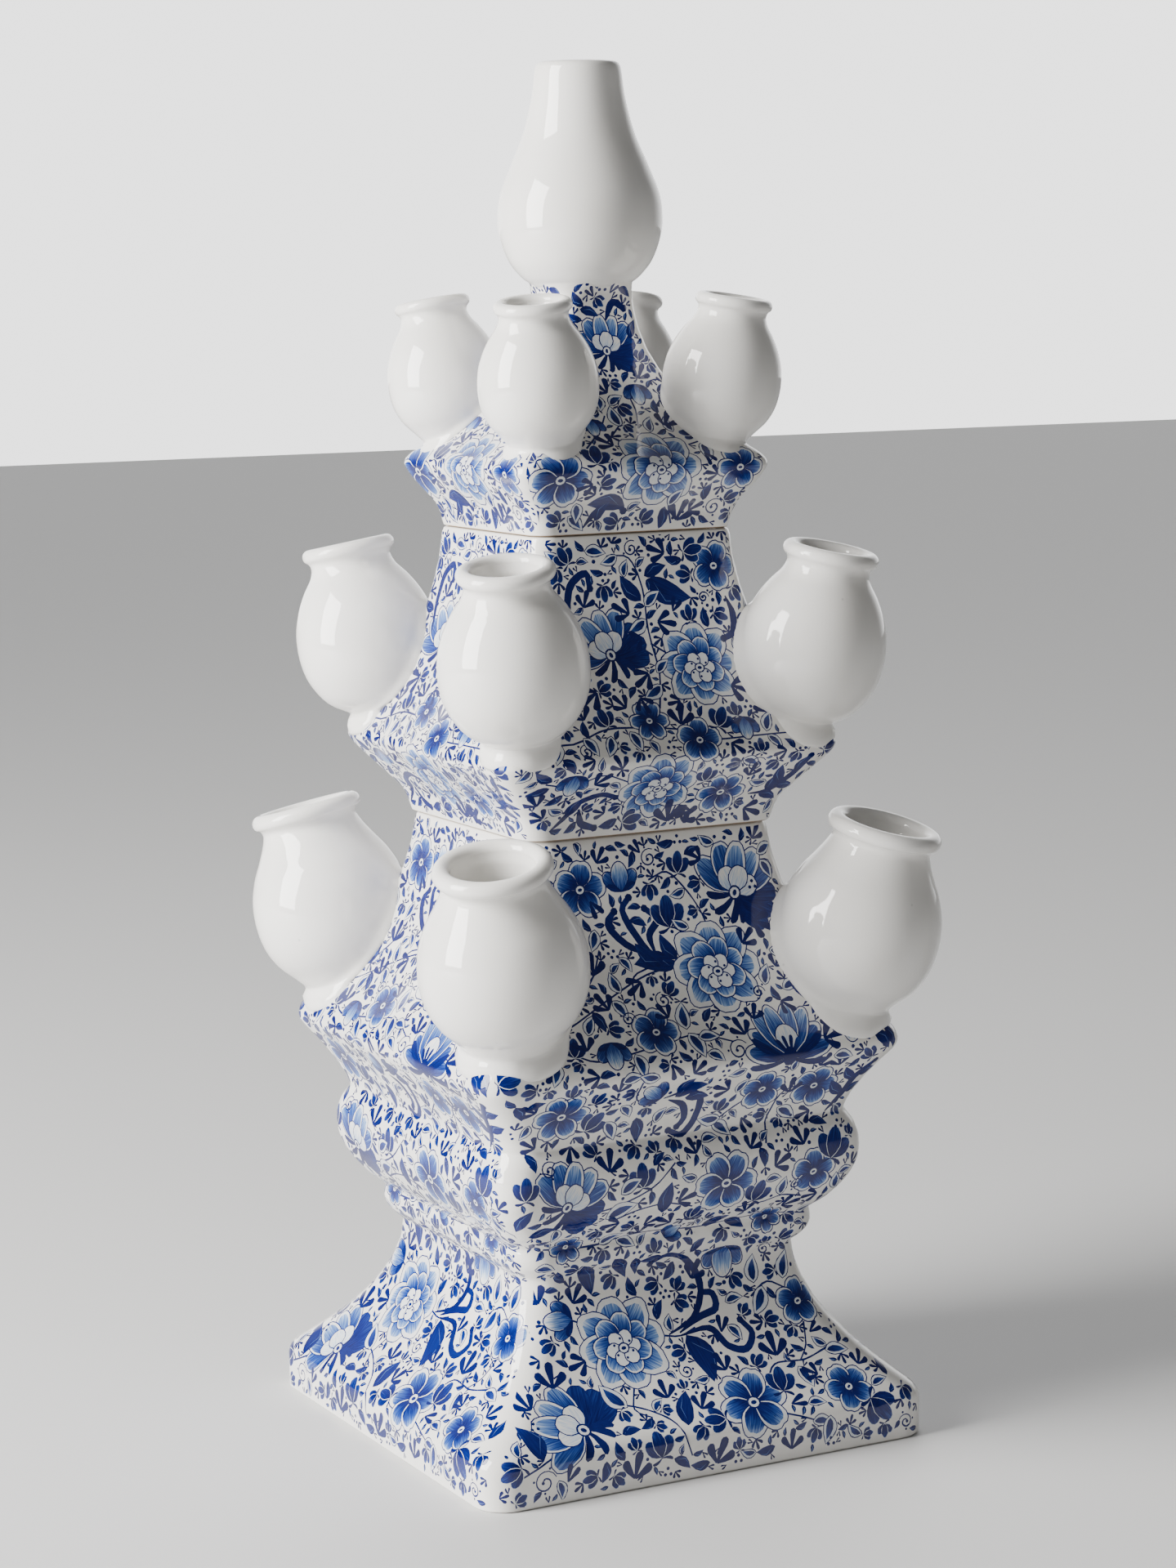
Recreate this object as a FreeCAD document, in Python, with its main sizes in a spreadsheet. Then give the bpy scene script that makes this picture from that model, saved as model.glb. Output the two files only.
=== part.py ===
import FreeCAD
import Part
import Sketcher
import math
import os

# Tiered flower vase of glazed earthenware. Three square hollow tiers stand on each other, each
# with a bulb spout luted to every corner, and a gourd-shaped vase is luted on the top tier.
# Millimetres, +Z up, the origin at the middle of the foot.

os.makedirs("parts", exist_ok=True)
V = FreeCAD.Vector
doc = FreeCAD.newDocument("flower_vase")

# ---- driving sizes -------------------------------------------------------------------------
size = {
    # lower tier, counted up from the table: foot, bead, round moulding, hollow, shoulder, slope
    "foot_half": 82.0,
    "foot_rim": 13.0,
    "foot_recess": 2.0,
    "foot_height": 63.5,
    "waist_half": 51.2,
    "bead_height": 11.5,
    "bead_out": 4.6,
    "torus_height": 34.0,
    "torus_half": 67.4,
    "groove_in": 3.4,
    "hollow_height": 24.0,
    "lower_shoulder_half": 77.2,
    "lower_slope": 71.5,
    "lower_mouth_half": 45.6,
    "lower_corner": 10.5,
    # middle tier: its foot is this much wider than the mouth it stands on
    "middle_foot_over": 0.8,
    "middle_flare": 26.0,
    "middle_shoulder_half": 62.2,
    "middle_slope": 70.0,
    "middle_mouth_half": 36.9,
    "middle_corner": 8.0,
    # upper tier, up to the neck under the top vase
    "upper_foot_under": 0.3,
    "upper_flare": 21.0,
    "upper_shoulder_half": 46.0,
    "upper_slope": 57.1,
    "neck_half": 13.9,
    "neck_wall": 4.6,
    "upper_corner": 6.5,
    # walls, and the stepped foot of one tier in the mouth of the next
    "wall": 5.0,
    "spigot_drop": 8.0,
    "spigot_gap": 1.2,
    "mouth_depth": 12.0,
    # top vase, counted up from the neck
    "vase_height": 72.4,
    "vase_belly": 27.0,
    "vase_belly_height": 21.9,
    "vase_lip": 13.9,
    "vase_foot_over": 2.7,
    "vase_wall": 3.6,
    # spouts: length along the axis, belly, lower neck, upper neck, rim, lip round, feed hole,
    # then the luted end's height over the shoulder, its depth in the corner and the lean
    "spout_wall": 4.0,
    "lower_length": 63.4,
    "lower_belly": 27.0,
    "lower_neck_low": 15.4,
    "lower_neck_top": 16.4,
    "lower_rim": 19.0,
    "lower_lip": 2.9,
    "lower_feed": 7.0,
    "lower_base_rise": 10.9,
    "lower_base_in": 11.01,
    "lower_tilt": 15.2,
    "middle_length": 58.6,
    "middle_belly": 24.0,
    "middle_neck_low": 10.6,
    "middle_neck_top": 13.6,
    "middle_rim": 15.7,
    "middle_lip": 2.5,
    "middle_feed": 5.5,
    "middle_base_rise": 6.7,
    "middle_base_in": 7.72,
    "middle_tilt": 11.9,
    "upper_length": 47.2,
    "upper_belly": 19.3,
    "upper_neck_low": 10.8,
    "upper_neck_top": 11.1,
    "upper_rim": 12.6,
    "upper_lip": 2.1,
    "upper_feed": 4.5,
    "upper_base_rise": 7.3,
    "upper_base_in": 9.15,
    "upper_tilt": 9.8,
}

sheet = doc.addObject("Spreadsheet::Sheet", "sizes")
row = 0


def cell(name, value):
    """Puts one named size in the sheet."""
    global row
    row += 1
    sheet.set("A%d" % row, name)
    sheet.set("B%d" % row, "%.4f" % value)
    sheet.setAlias("B%d" % row, name)


for name, value in size.items():
    cell(name, value)
doc.recompute()
S = size

# ---- profile curves: lists of (half width, height) ---------------------------------------------


def cove(w0, z0, w1, z1, bend, steps):
    """A hollow curve that leaves w0 fast and arrives at w1 slowly."""
    out = []
    for i in range(steps + 1):
        u = i / steps
        out.append((w1 + (w0 - w1) * (1 - u) ** bend, z0 + (z1 - z0) * u))
    return out


def slope(w0, z0, w1, z1, lean, steps):
    """A hollow slope that still leans by the share `lean` where it ends."""
    out = []
    for i in range(steps + 1):
        u = i / steps
        share = lean * (1 - u) + (1 - lean) * (1 - u) ** 2
        out.append((w1 + (w0 - w1) * share, z0 + (z1 - z0) * u))
    return out


def bulge(w0, z0, wmax, w1, z1, steps):
    """A round moulding from w0 out to wmax and back to w1."""
    out = []
    for i in range(steps + 1):
        u = i / steps
        base = w0 + (w1 - w0) * u
        top = wmax - (w0 + w1) / 2
        out.append((base + top * math.sin(math.pi * u) ** 0.75, z0 + (z1 - z0) * u))
    return out


def flare(foot, shoulder, stations):
    """An S curve from a foot out to a shoulder; each station is a share of the way out and up."""
    out = []
    for across, up in stations:
        half = foot[0] + across * (shoulder[0] - foot[0])
        out.append((half, foot[1] + up * (shoulder[1] - foot[1])))
    return out


def corner_reach(zones, corner, z):
    """How far the rounded corner stands from the axis at height z."""
    points = [p for zone in zones for p in zone]
    for (w0, z0), (w1, z1) in zip(points, points[1:]):
        if z0 < z <= z1:
            half = w0 + (w1 - w0) * (z - z0) / (z1 - z0)
            return half * math.sqrt(2) - min(corner, 0.4 * half) * (math.sqrt(2) - 1)
    raise ValueError("no wall at height %.1f" % z)


# ---- building blocks -----------------------------------------------------------------------


def origin_plane(body, role):
    return [f for f in body.Origin.OriginFeatures if f.Role == role][0]


def section(body, name, half, z, corner):
    """A rounded square at height z, driven by the sheet."""
    sk = body.newObject("Sketcher::SketchObject", name)
    sk.AttachmentSupport = (origin_plane(body, "XY_Plane"), [""])
    sk.MapMode = "FlatFace"
    a, k = half, half - corner
    ends = [((-k, -a), (k, -a)), ((a, -k), (a, k)), ((k, a), (-k, a)), ((-a, k), (-a, -k))]
    centres = [(k, -k, -90), (k, k, 0), (-k, k, 90), (-k, -k, 180)]
    sk.addGeometry([Part.LineSegment(V(*p, 0), V(*q, 0)) for p, q in ends], False)
    for cx, cy, start in centres:
        circle = Part.Circle(V(cx, cy, 0), V(0, 0, 1), corner)
        arc = Part.ArcOfCircle(circle, math.radians(start), math.radians(start + 90))
        sk.addGeometry(arc, False)
    C = Sketcher.Constraint
    joins = []
    for i in range(4):
        joins.append(C("Tangent", i, 2, 4 + i, 1))
        joins.append(C("Tangent", 4 + i, 2, (i + 1) % 4, 1))
    joins += [C("Equal", 4, i) for i in (5, 6, 7)]
    joins += [C("Horizontal", 0), C("Vertical", 1), C("Equal", 0, 1)]
    joins.append(C("Symmetric", 4, 3, 6, 3, -1, 1))
    sk.addConstraint(joins)
    at = sk.addConstraint(C("DistanceX", 3, 1, 1, 1, 2 * half))
    sk.renameConstraint(at, "across")
    sk.setExpression("Constraints.across", "2 * sizes.%s_half" % name)
    at = sk.addConstraint(C("Radius", 4, corner))
    sk.renameConstraint(at, "corner")
    sk.setExpression("Constraints.corner", "sizes.%s_corner" % name)
    sk.setExpression("AttachmentOffset.Base.z", "sizes.%s_height" % name)
    return sk


def stations(name, zones, corner):
    """Puts every station of a stack of zones in the sheet."""
    for i, points in enumerate(zones):
        for j, (half, z) in enumerate(points):
            station = "%s_%d_%02d" % (name, i, j)
            cell(station + "_half", half)
            cell(station + "_height", z)
            cell(station + "_corner", min(corner, half * 0.4))


def lofted(name, zones, corner):
    """A body of smooth zones, each a loft through rounded squares."""
    body = doc.addObject("PartDesign::Body", name)
    for i, points in enumerate(zones):
        sections = []
        for j, (half, z) in enumerate(points):
            station = "%s_%d_%02d" % (name, i, j)
            sections.append(section(body, station, half, z, min(corner, half * 0.4)))
        zone = body.newObject("PartDesign::AdditiveLoft", "%s_zone%d" % (name, i))
        zone.Profile = (sections[0], [""])
        zone.Sections = [(s, [""]) for s in sections[1:]]
        zone.Ruled = False
        zone.Closed = False
    return body


# ---- lower tier ------------------------------------------------------------------------------
wall = S["wall"]
fz = S["foot_rim"]
rim_round = 5.0
waist = (S["waist_half"], S["foot_height"])
bead = (waist[0] + S["bead_out"], waist[1] + S["bead_height"])
groove = (S["torus_half"] - S["groove_in"], bead[1] + S["torus_height"])
shoulder = (S["lower_shoulder_half"], groove[1] + S["hollow_height"])
top = (S["lower_mouth_half"], shoulder[1] + S["lower_slope"])
foot = S["foot_half"]
lower_out = [
    [(foot - 0.8, 0.0), (foot, 1.2)],
    [(foot, 1.2), (foot, fz)],
    [(foot, fz), (foot - 0.5, fz + 1.8), (foot - 1.6, fz + 3.6), (foot - 3.2, fz + rim_round)],
    cove(foot - 3.2, fz + rim_round, waist[0], waist[1], 1.9, 7),
    bulge(waist[0], waist[1], bead[0], bead[0] - 0.2, bead[1], 5)[:4]
    + [(bead[0], bead[1] - 1.2), (bead[0] - 0.4, bead[1])],
    bulge(bead[0] - 0.4, bead[1], S["torus_half"], groove[0], groove[1], 8),
    cove(shoulder[0] - 1.4, shoulder[1] - 3.4, groove[0], groove[1], 1.35, 5)[::-1],
    [
        (shoulder[0] - 1.4, shoulder[1] - 3.4),
        (shoulder[0] - 0.3, shoulder[1] - 1.5),
        (shoulder[0], shoulder[1] + 0.4),
        (shoulder[0] - 0.7, shoulder[1] + 3.2),
        (shoulder[0] - 2.4, shoulder[1] + 5.8),
    ],
    slope(shoulder[0] - 2.4, shoulder[1] + 5.8, top[0], top[1] - 1.4, 0.2, 7),
    [(top[0], top[1] - 1.4), (top[0] - 0.5, top[1] - 0.4), (top[0] - 1.4, top[1])],
]
mouth = top[0] - wall
lower_in = [
    [(foot - 8.0, -1.0), (foot - 8.0, S["foot_recess"])],
    cove(foot - 8.0, S["foot_recess"] + wall, waist[0] - wall, waist[1], 1.7, 5),
    [
        (waist[0] - wall, waist[1]),
        (bead[0] - wall - 3.0, bead[1] - 2.0),
        (S["torus_half"] - wall - 1.5, (bead[1] + groove[1]) / 2),
        (groove[0] - wall - 1.0, groove[1]),
    ],
    cove(shoulder[0] - wall - 4.0, shoulder[1] - 6.0, groove[0] - wall - 1.0, groove[1], 1.35, 4)[::-1],
    [
        (shoulder[0] - wall - 4.0, shoulder[1] - 6.0),
        (shoulder[0] - wall - 2.0, shoulder[1] - 1.0),
        (shoulder[0] - wall - 4.5, shoulder[1] + 3.5),
    ],
    slope(shoulder[0] - wall - 4.5, shoulder[1] + 3.5, mouth, top[1] - S["mouth_depth"], 0.22, 6),
    [(mouth, top[1] - S["mouth_depth"]), (mouth, top[1] + 1.0)],
]

# ---- middle tier: its stepped foot drops into the lower tier's mouth ------------------------------
m_foot = (top[0] + S["middle_foot_over"], top[1])
m_sh = (S["middle_shoulder_half"], m_foot[1] + S["middle_flare"])
m_top = (S["middle_mouth_half"], m_sh[1] + S["middle_slope"])
m_rise = m_sh[1] - m_foot[1]
m_spigot = mouth - S["spigot_gap"]
m_floor = m_foot[1] - S["spigot_drop"]
m_hip = m_foot[0] + 0.329 * (m_sh[0] - m_foot[0])
m_mouth = m_top[0] - wall
middle_out = [
    [(m_spigot - 0.8, m_floor), (m_spigot, m_floor + 1.5), (m_spigot, m_foot[1])],
    [(m_foot[0] - 1.2, m_foot[1]), (m_foot[0] - 0.3, m_foot[1] + 0.5), (m_foot[0], m_foot[1] + 1.5)],
    [(m_foot[0], m_foot[1] + 1.5)]
    + flare(m_foot, m_sh, [(0.057, 0.2), (0.139, 0.32), (0.329, 0.46), (0.595, 0.65), (0.823, 0.82)])
    + [(m_sh[0] - 1.0, m_sh[1] - 0.09 * m_rise)],
    [
        (m_sh[0] - 1.0, m_sh[1] - 0.09 * m_rise),
        (m_sh[0] - 0.1, m_sh[1] - 0.4),
        (m_sh[0] - 0.4, m_sh[1] + 1.6),
        (m_sh[0] - 1.9, m_sh[1] + 3.8),
    ],
    slope(m_sh[0] - 1.9, m_sh[1] + 3.8, m_top[0], m_top[1] - 1.3, 0.16, 7),
    [(m_top[0], m_top[1] - 1.3), (m_top[0] - 0.5, m_top[1] - 0.4), (m_top[0] - 1.3, m_top[1])],
]
middle_in = [
    [(m_spigot - wall, m_floor + wall), (m_spigot - wall, m_foot[1] + wall)],
    [
        (m_spigot - wall, m_foot[1] + wall),
        (m_hip - wall - 3.2, m_foot[1] + 0.46 * m_rise),
        (m_sh[0] - wall - 5.0, m_sh[1] - 0.22 * m_rise),
    ],
    [
        (m_sh[0] - wall - 5.0, m_sh[1] - 0.22 * m_rise),
        (m_sh[0] - wall - 2.2, m_sh[1] - 1.0),
        (m_sh[0] - wall - 4.0, m_sh[1] + 2.2),
    ],
    slope(m_sh[0] - wall - 4.0, m_sh[1] + 2.2, m_mouth, m_top[1] - S["mouth_depth"], 0.18, 6),
    [(m_mouth, m_top[1] - S["mouth_depth"]), (m_mouth, m_top[1] + 1.0)],
]

# ---- upper tier: drops into the middle tier's mouth, its neck carries the top vase -----------------
u_foot = (m_top[0] - S["upper_foot_under"], m_top[1])
u_sh = (S["upper_shoulder_half"], u_foot[1] + S["upper_flare"])
u_rise = u_sh[1] - u_foot[1]
neck = (S["neck_half"], u_sh[1] + S["upper_slope"])
u_spigot = m_mouth - S["spigot_gap"]
u_floor = u_foot[1] - S["spigot_drop"]
neck_hole = neck[0] - S["neck_wall"]
upper_out = [
    [(u_spigot - 0.8, u_floor), (u_spigot, u_floor + 1.5), (u_spigot, u_foot[1])],
    [(u_foot[0] - 1.2, u_foot[1]), (u_foot[0] - 0.3, u_foot[1] + 0.5), (u_foot[0], u_foot[1] + 1.5)],
    [(u_foot[0], u_foot[1] + 1.5)]
    + flare(u_foot, u_sh, [(0.053, 0.22), (0.16, 0.36), (0.362, 0.5), (0.734, 0.74)])
    + [(u_sh[0] - 0.9, u_foot[1] + 0.88 * u_rise)],
    [
        (u_sh[0] - 0.9, u_foot[1] + 0.88 * u_rise),
        (u_sh[0] - 0.1, u_sh[1] - 0.5),
        (u_sh[0] - 0.4, u_sh[1] + 1.3),
        (u_sh[0] - 1.8, u_sh[1] + 3.2),
    ],
    cove(u_sh[0] - 1.8, u_sh[1] + 3.2, neck[0], neck[1], 2.25, 8),
]
upper_in = [
    [(u_spigot - wall, u_floor + wall), (u_spigot - wall, u_foot[1] + wall)],
    [
        (u_spigot - wall, u_foot[1] + wall),
        (u_foot[0] + 0.362 * (u_sh[0] - u_foot[0]) - wall - 1.6, u_foot[1] + 0.5 * u_rise),
        (u_sh[0] - wall - 1.8, u_sh[1] - 1.5),
        (u_sh[0] - wall - 4.0, u_sh[1] + 1.5),
    ],
    cove(u_sh[0] - wall - 4.0, u_sh[1] + 1.5, neck_hole, neck[1] - 8.0, 1.9, 6),
    [(neck_hole, neck[1] - 8.0), (neck_hole, neck[1] + 1.0)],
]

# ---- spouts: slip-cast bulbs, luted to the corners ----------------------------------------------


def spout_profile(body, key):
    """The wall of one spout in its own frame: the axis is Z and the luted end is at 0."""
    L, R = S[key + "_length"], S[key + "_belly"]
    low, neck_r = S[key + "_neck_low"], S[key + "_neck_top"]
    rim, lip, feed = S[key + "_rim"], S[key + "_lip"], S[key + "_feed"]
    w = S["spout_wall"]
    root = -0.10 * L
    bore = neck_r - w
    under = math.radians(-40)
    c = (rim - lip, L - lip)
    joint = (c[0] + lip * math.cos(under), c[1] + lip * math.sin(under))
    outer = [
        (low, 0.035 * L),
        (0.70 * R, 0.10 * L),
        (0.86 * R, 0.185 * L),
        (0.965 * R, 0.29 * L),
        (R, 0.415 * L),
        (0.968 * R, 0.545 * L),
        (0.872 * R, 0.66 * L),
        (0.745 * R, 0.755 * L),
        (neck_r + 0.045 * R, 0.83 * L),
        (neck_r, 0.885 * L),
        joint,
    ]
    inner = [
        (bore, 0.78 * L),
        (0.80 * R - w, 0.68 * L),
        (0.95 * R - w, 0.54 * L),
        (R - w, 0.415 * L),
        (0.95 * R - w, 0.27 * L),
        (0.80 * R - w, 0.185 * L),
        (feed + 0.06 * R, 0.125 * L),
        (feed, 0.10 * L),
    ]
    sk = body.newObject("Sketcher::SketchObject", body.Name + "_wall")
    sk.AttachmentSupport = (origin_plane(body, "XZ_Plane"), [""])
    sk.MapMode = "FlatFace"

    def pt(p):
        return V(p[0], p[1], 0)

    def line(p, q):
        sk.addGeometry(Part.LineSegment(pt(p), pt(q)), False)

    def curve(points):
        c = Part.BSplineCurve()
        c.interpolate([pt(p) for p in points])
        sk.addGeometry(c, False)

    line((feed, root), (low, root))
    line((low, root), outer[0])
    curve(outer)
    circle = Part.Circle(pt(c), V(0, 0, 1), lip)
    sk.addGeometry(Part.ArcOfCircle(circle, under, math.pi), False)
    line((c[0] - lip, c[1]), (bore, L - 2.1 * lip))
    line((bore, L - 2.1 * lip), inner[0])
    curve(inner)
    line(inner[-1], (feed, root))
    return sk


def spout_placement(key, turn):
    """Stands the spout on its corner, leaning out along the diagonal."""
    outside, inside, corner = tiers[key]
    z = shoulders[key] + S[key + "_base_rise"]
    r = corner_reach(outside, corner, z) - S[key + "_base_in"]
    tilt = S[key + "_tilt"]
    lean = FreeCAD.Rotation(V(0, 1, 0), tilt)
    spin = FreeCAD.Rotation(V(0, 0, 1), turn)
    return FreeCAD.Placement(spin.multVec(V(r, 0, z)), spin.multiply(lean))


shoulders = {"lower": shoulder[1], "middle": m_sh[1], "upper": u_sh[1]}
corners = {"front": -135.0, "right": -45.0, "back": 45.0, "left": 135.0}
tiers = {
    "lower": (lower_out, lower_in, S["lower_corner"]),
    "middle": (middle_out, middle_in, S["middle_corner"]),
    "upper": (upper_out, upper_in, S["upper_corner"]),
}
for key, (outside, inside, corner) in tiers.items():
    stations(key + "_form", outside, corner)
    stations(key + "_cavity", inside, corner - 2.5)
doc.recompute()

finished = []
for key, (outside, inside, corner) in tiers.items():
    form = lofted(key + "_form", outside, corner)
    cavity = lofted(key + "_cavity", inside, corner - 2.5)
    holes = [cavity]
    for side, turn in corners.items():
        spot = spout_placement(key, turn)
        # the spout's own wall, then trimmed to the tier it is luted to
        cast = doc.addObject("PartDesign::Body", "%s_%s_cast" % (key, side))
        wall_sketch = spout_profile(cast, key)
        turned = cast.newObject("PartDesign::Revolution", cast.Name + "_turned")
        turned.Profile = (wall_sketch, [""])
        turned.ReferenceAxis = (wall_sketch, ["V_Axis"])
        turned.Angle = 360.0
        cast.Placement = spot
        spout = doc.addObject("Part::Cut", "%s_spout_%s" % (key, side))
        spout.Base = cast
        spout.Tool = form
        finished.append(spout)
        # the feed hole through the tier's wall, on the spout's axis
        hole = doc.addObject("Part::Cylinder", "%s_%s_feed" % (key, side))
        hole.setExpression("Radius", "sizes.%s_feed" % key)
        hole.setExpression("Height", "0.3 * sizes.%s_length" % key)
        hole.Placement = spot.multiply(
            FreeCAD.Placement(V(0, 0, -0.20 * S[key + "_length"]), FreeCAD.Rotation())
        )
        holes.append(hole)
    hollow = doc.addObject("Part::MultiFuse", key + "_hollow")
    hollow.Shapes = holes
    tier = doc.addObject("Part::Cut", key + "_tier")
    tier.Base = form
    tier.Tool = hollow
    finished.append(tier)

# ---- top vase: a gourd-shaped bulb with a plain mouth ---------------------------------------------
vase = doc.addObject("PartDesign::Body", "top_vase")
base_z, end_z = neck[1], neck[1] + S["vase_height"]
belly, belly_z = S["vase_belly"], neck[1] + S["vase_belly_height"]
lip_r, thin = S["vase_lip"], S["vase_wall"]
rise = end_z - belly_z
outer = [
    (neck[0] + S["vase_foot_over"], base_z),
    (0.74 * belly, base_z + 0.15 * (belly_z - base_z)),
    (0.88 * belly, base_z + 0.42 * (belly_z - base_z)),
    (0.972 * belly, base_z + 0.72 * (belly_z - base_z)),
    (belly, belly_z),
    (0.963 * belly, belly_z + 0.16 * rise),
    (0.83 * belly, belly_z + 0.35 * rise),
    (0.67 * belly, belly_z + 0.55 * rise),
    (lip_r + 1.6, belly_z + 0.76 * rise),
    (lip_r + 0.2, end_z - 3.0),
]
bore = lip_r - thin
inner = [
    (bore, end_z - 14.0),
    (0.70 * belly - thin, belly_z + 0.50 * rise),
    (0.86 * belly - thin, belly_z + 0.30 * rise),
    (belly - thin, belly_z),
    (0.86 * belly - thin, base_z + 0.45 * (belly_z - base_z)),
    (neck_hole + 0.6, base_z + 0.22 * (belly_z - base_z)),
    (neck_hole, base_z + 0.12 * (belly_z - base_z)),
]
sk = vase.newObject("Sketcher::SketchObject", "top_vase_wall")
sk.AttachmentSupport = (origin_plane(vase, "XZ_Plane"), [""])
sk.MapMode = "FlatFace"
curve_out = Part.BSplineCurve()
curve_out.interpolate([V(r, z, 0) for r, z in outer])
curve_in = Part.BSplineCurve()
curve_in.interpolate([V(r, z, 0) for r, z in inner])
crown = Part.Arc(
    V(outer[-1][0], outer[-1][1], 0),
    V((lip_r + bore) / 2 + 0.3, end_z, 0),
    V(bore, end_z - 2.6, 0),
)
sk.addGeometry(Part.LineSegment(V(neck_hole, base_z, 0), V(outer[0][0], base_z, 0)), False)
sk.addGeometry(curve_out, False)
sk.addGeometry(crown, False)
sk.addGeometry(Part.LineSegment(V(bore, end_z - 2.6, 0), V(inner[0][0], inner[0][1], 0)), False)
sk.addGeometry(curve_in, False)
sk.addGeometry(Part.LineSegment(V(inner[-1][0], inner[-1][1], 0), V(neck_hole, base_z, 0)), False)
doc.recompute()
turned = vase.newObject("PartDesign::Revolution", "top_vase_turned")
turned.Profile = (sk, [""])
turned.ReferenceAxis = (sk, ["V_Axis"])
turned.Angle = 360.0
finished.append(vase)
doc.recompute()

# ---- check and write -------------------------------------------------------------------------
for o in doc.Objects:
    if "Invalid" in o.State or "Error" in o.State:
        raise RuntimeError("%s is not built: %s" % (o.Name, o.State))
for o in finished:
    shape = o.Shape
    if shape.isNull() or not shape.isValid():
        raise RuntimeError(o.Name + " has no valid shape")
    if len(shape.Solids) != 1:
        raise RuntimeError("%s has %d solids" % (o.Name, len(shape.Solids)))
    o.Label = o.Name
    shape.exportStep("parts/%s.step" % o.Name)
    print(o.Name, round(shape.Volume), [round(v, 2) for v in (shape.BoundBox.ZMin, shape.BoundBox.ZMax)])
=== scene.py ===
import math

import bpy
import numpy as np
from mathutils import Matrix, Vector
from mathutils.geometry import delaunay_2d_cdt


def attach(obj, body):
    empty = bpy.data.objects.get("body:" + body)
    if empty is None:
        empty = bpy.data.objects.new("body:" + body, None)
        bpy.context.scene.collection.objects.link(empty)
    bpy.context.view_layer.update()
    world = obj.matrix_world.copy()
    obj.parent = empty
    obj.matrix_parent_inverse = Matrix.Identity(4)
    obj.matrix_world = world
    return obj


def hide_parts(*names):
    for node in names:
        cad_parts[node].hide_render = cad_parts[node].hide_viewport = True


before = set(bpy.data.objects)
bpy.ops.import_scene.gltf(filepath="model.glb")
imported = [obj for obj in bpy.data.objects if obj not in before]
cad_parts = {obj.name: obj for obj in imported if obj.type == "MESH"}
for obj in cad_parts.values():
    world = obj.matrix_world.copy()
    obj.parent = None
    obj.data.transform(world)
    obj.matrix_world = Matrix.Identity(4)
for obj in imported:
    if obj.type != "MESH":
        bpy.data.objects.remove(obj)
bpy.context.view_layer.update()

# ---- lower tier ----------------------------------------------------------------------------------
# Slip-cast earthenware body: square foot, waist, two rounded mouldings, shoulder and hollow slope.
# It stands on an unglazed foot ring and is open at the top. Under its clear glaze every face carries
# the same cobalt print: outlined flowers with washed petals, leaves, sprigs, scrolls and tendrils.

# the print is drawn flat in mm, x across a face and s up it; each shape has its ink at base and tip
PEN = 0.42
shapes = []


def corner_area(a, b, c):
    """Twice the area of the corner that an outline makes at b."""
    return abs((b[0] - a[0]) * (c[1] - a[1]) - (b[1] - a[1]) * (c[0] - a[0]))


def put(points, base, tip=None, streak=0.15, start=None, end=None, side=1.0):
    """One painted shape. Ink runs from base at start to tip at end, with brush streaks."""
    points = [(float(x), float(y)) for x, y in points]
    area = sum(p[0] * q[1] - q[0] * p[1] for p, q in zip(points, points[1:] + points[:1]))
    if area < 0:
        points.reverse()
    if start is None:
        start = points[0]
        end = (start[0] + 5.0, start[1])
    # corners smaller than this are left out
    slight = 0.11
    while len(points) > 5:
        before, after = points[-1:] + points[:-1], points[1:] + points[:1]
        corners = [corner_area(*three) for three in zip(before, points, after)]
        least = min(corners)
        if least > slight:
            break
        del points[corners.index(least)]
    shapes.append((points, (base, base if tip is None else tip, streak), start, end, side))


def inset(points, by):
    """The same outline drawn smaller by the width of the pen."""
    area = sum(p[0] * q[1] - q[0] * p[1] for p, q in zip(points, points[1:] + points[:1]))
    turn = 1.0 if area > 0 else -1.0
    n = len(points)
    out = []
    for i, (x, y) in enumerate(points):
        ax, ay = points[i - 1]
        bx, by_ = points[(i + 1) % n]
        dx, dy = bx - ax, by_ - ay
        d = math.hypot(dx, dy) or 1.0
        out.append((x - turn * dy / d * by, y + turn * dx / d * by))
    return out


def at(x, y, angle, a, b):
    """The point a along and b across a direction."""
    c, s = math.cos(math.radians(angle)), math.sin(math.radians(angle))
    return (x + a * c - b * s, y + a * s + b * c)


def oval(x, y, a, b, angle=0.0, n=12):
    return [at(x, y, angle, a * math.cos(t), b * math.sin(t)) for t in np.arange(n) * 2 * math.pi / n]


def petal_shape(x, y, angle, length, width, lobes=2, depth=0.10, n=20):
    """A petal that leaves x, y, with its outer end cut into lobes."""
    out = []
    for i in range(n):
        t = -math.pi + 2 * math.pi * i / n
        a, b = 0.5 * length * math.cos(t), 0.5 * width * math.sin(t)
        if lobes and abs(t) < 1.9:
            wave = math.sin(t * lobes * 0.83) if lobes % 2 == 0 else math.cos(t * lobes * 0.83)
            k = 1 + depth * (abs(wave) ** 0.6 - 0.6) * math.cos(t * 0.8)
            a, b = a * k, b * k
        if a < 0:
            b *= 1 - 0.55 * (-a / (0.5 * length)) ** 2
        out.append(at(x, y, angle, a + 0.5 * length, b))
    return out


def leaf_shape(x, y, angle, length, width, bend=0.0, n=8):
    """A pointed leaf, bent to one side."""
    left, right = [], []
    for i in range(n + 1):
        a = i / n
        mid = 4 * bend * length * a * (1 - a)
        half = 0.5 * width * math.sin(math.pi * a ** 0.8) ** 0.85
        left.append(at(x, y, angle, a * length, mid + half))
        if 0 < i < n:
            right.append(at(x, y, angle, a * length, mid - half))
    return left + right[::-1]


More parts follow.
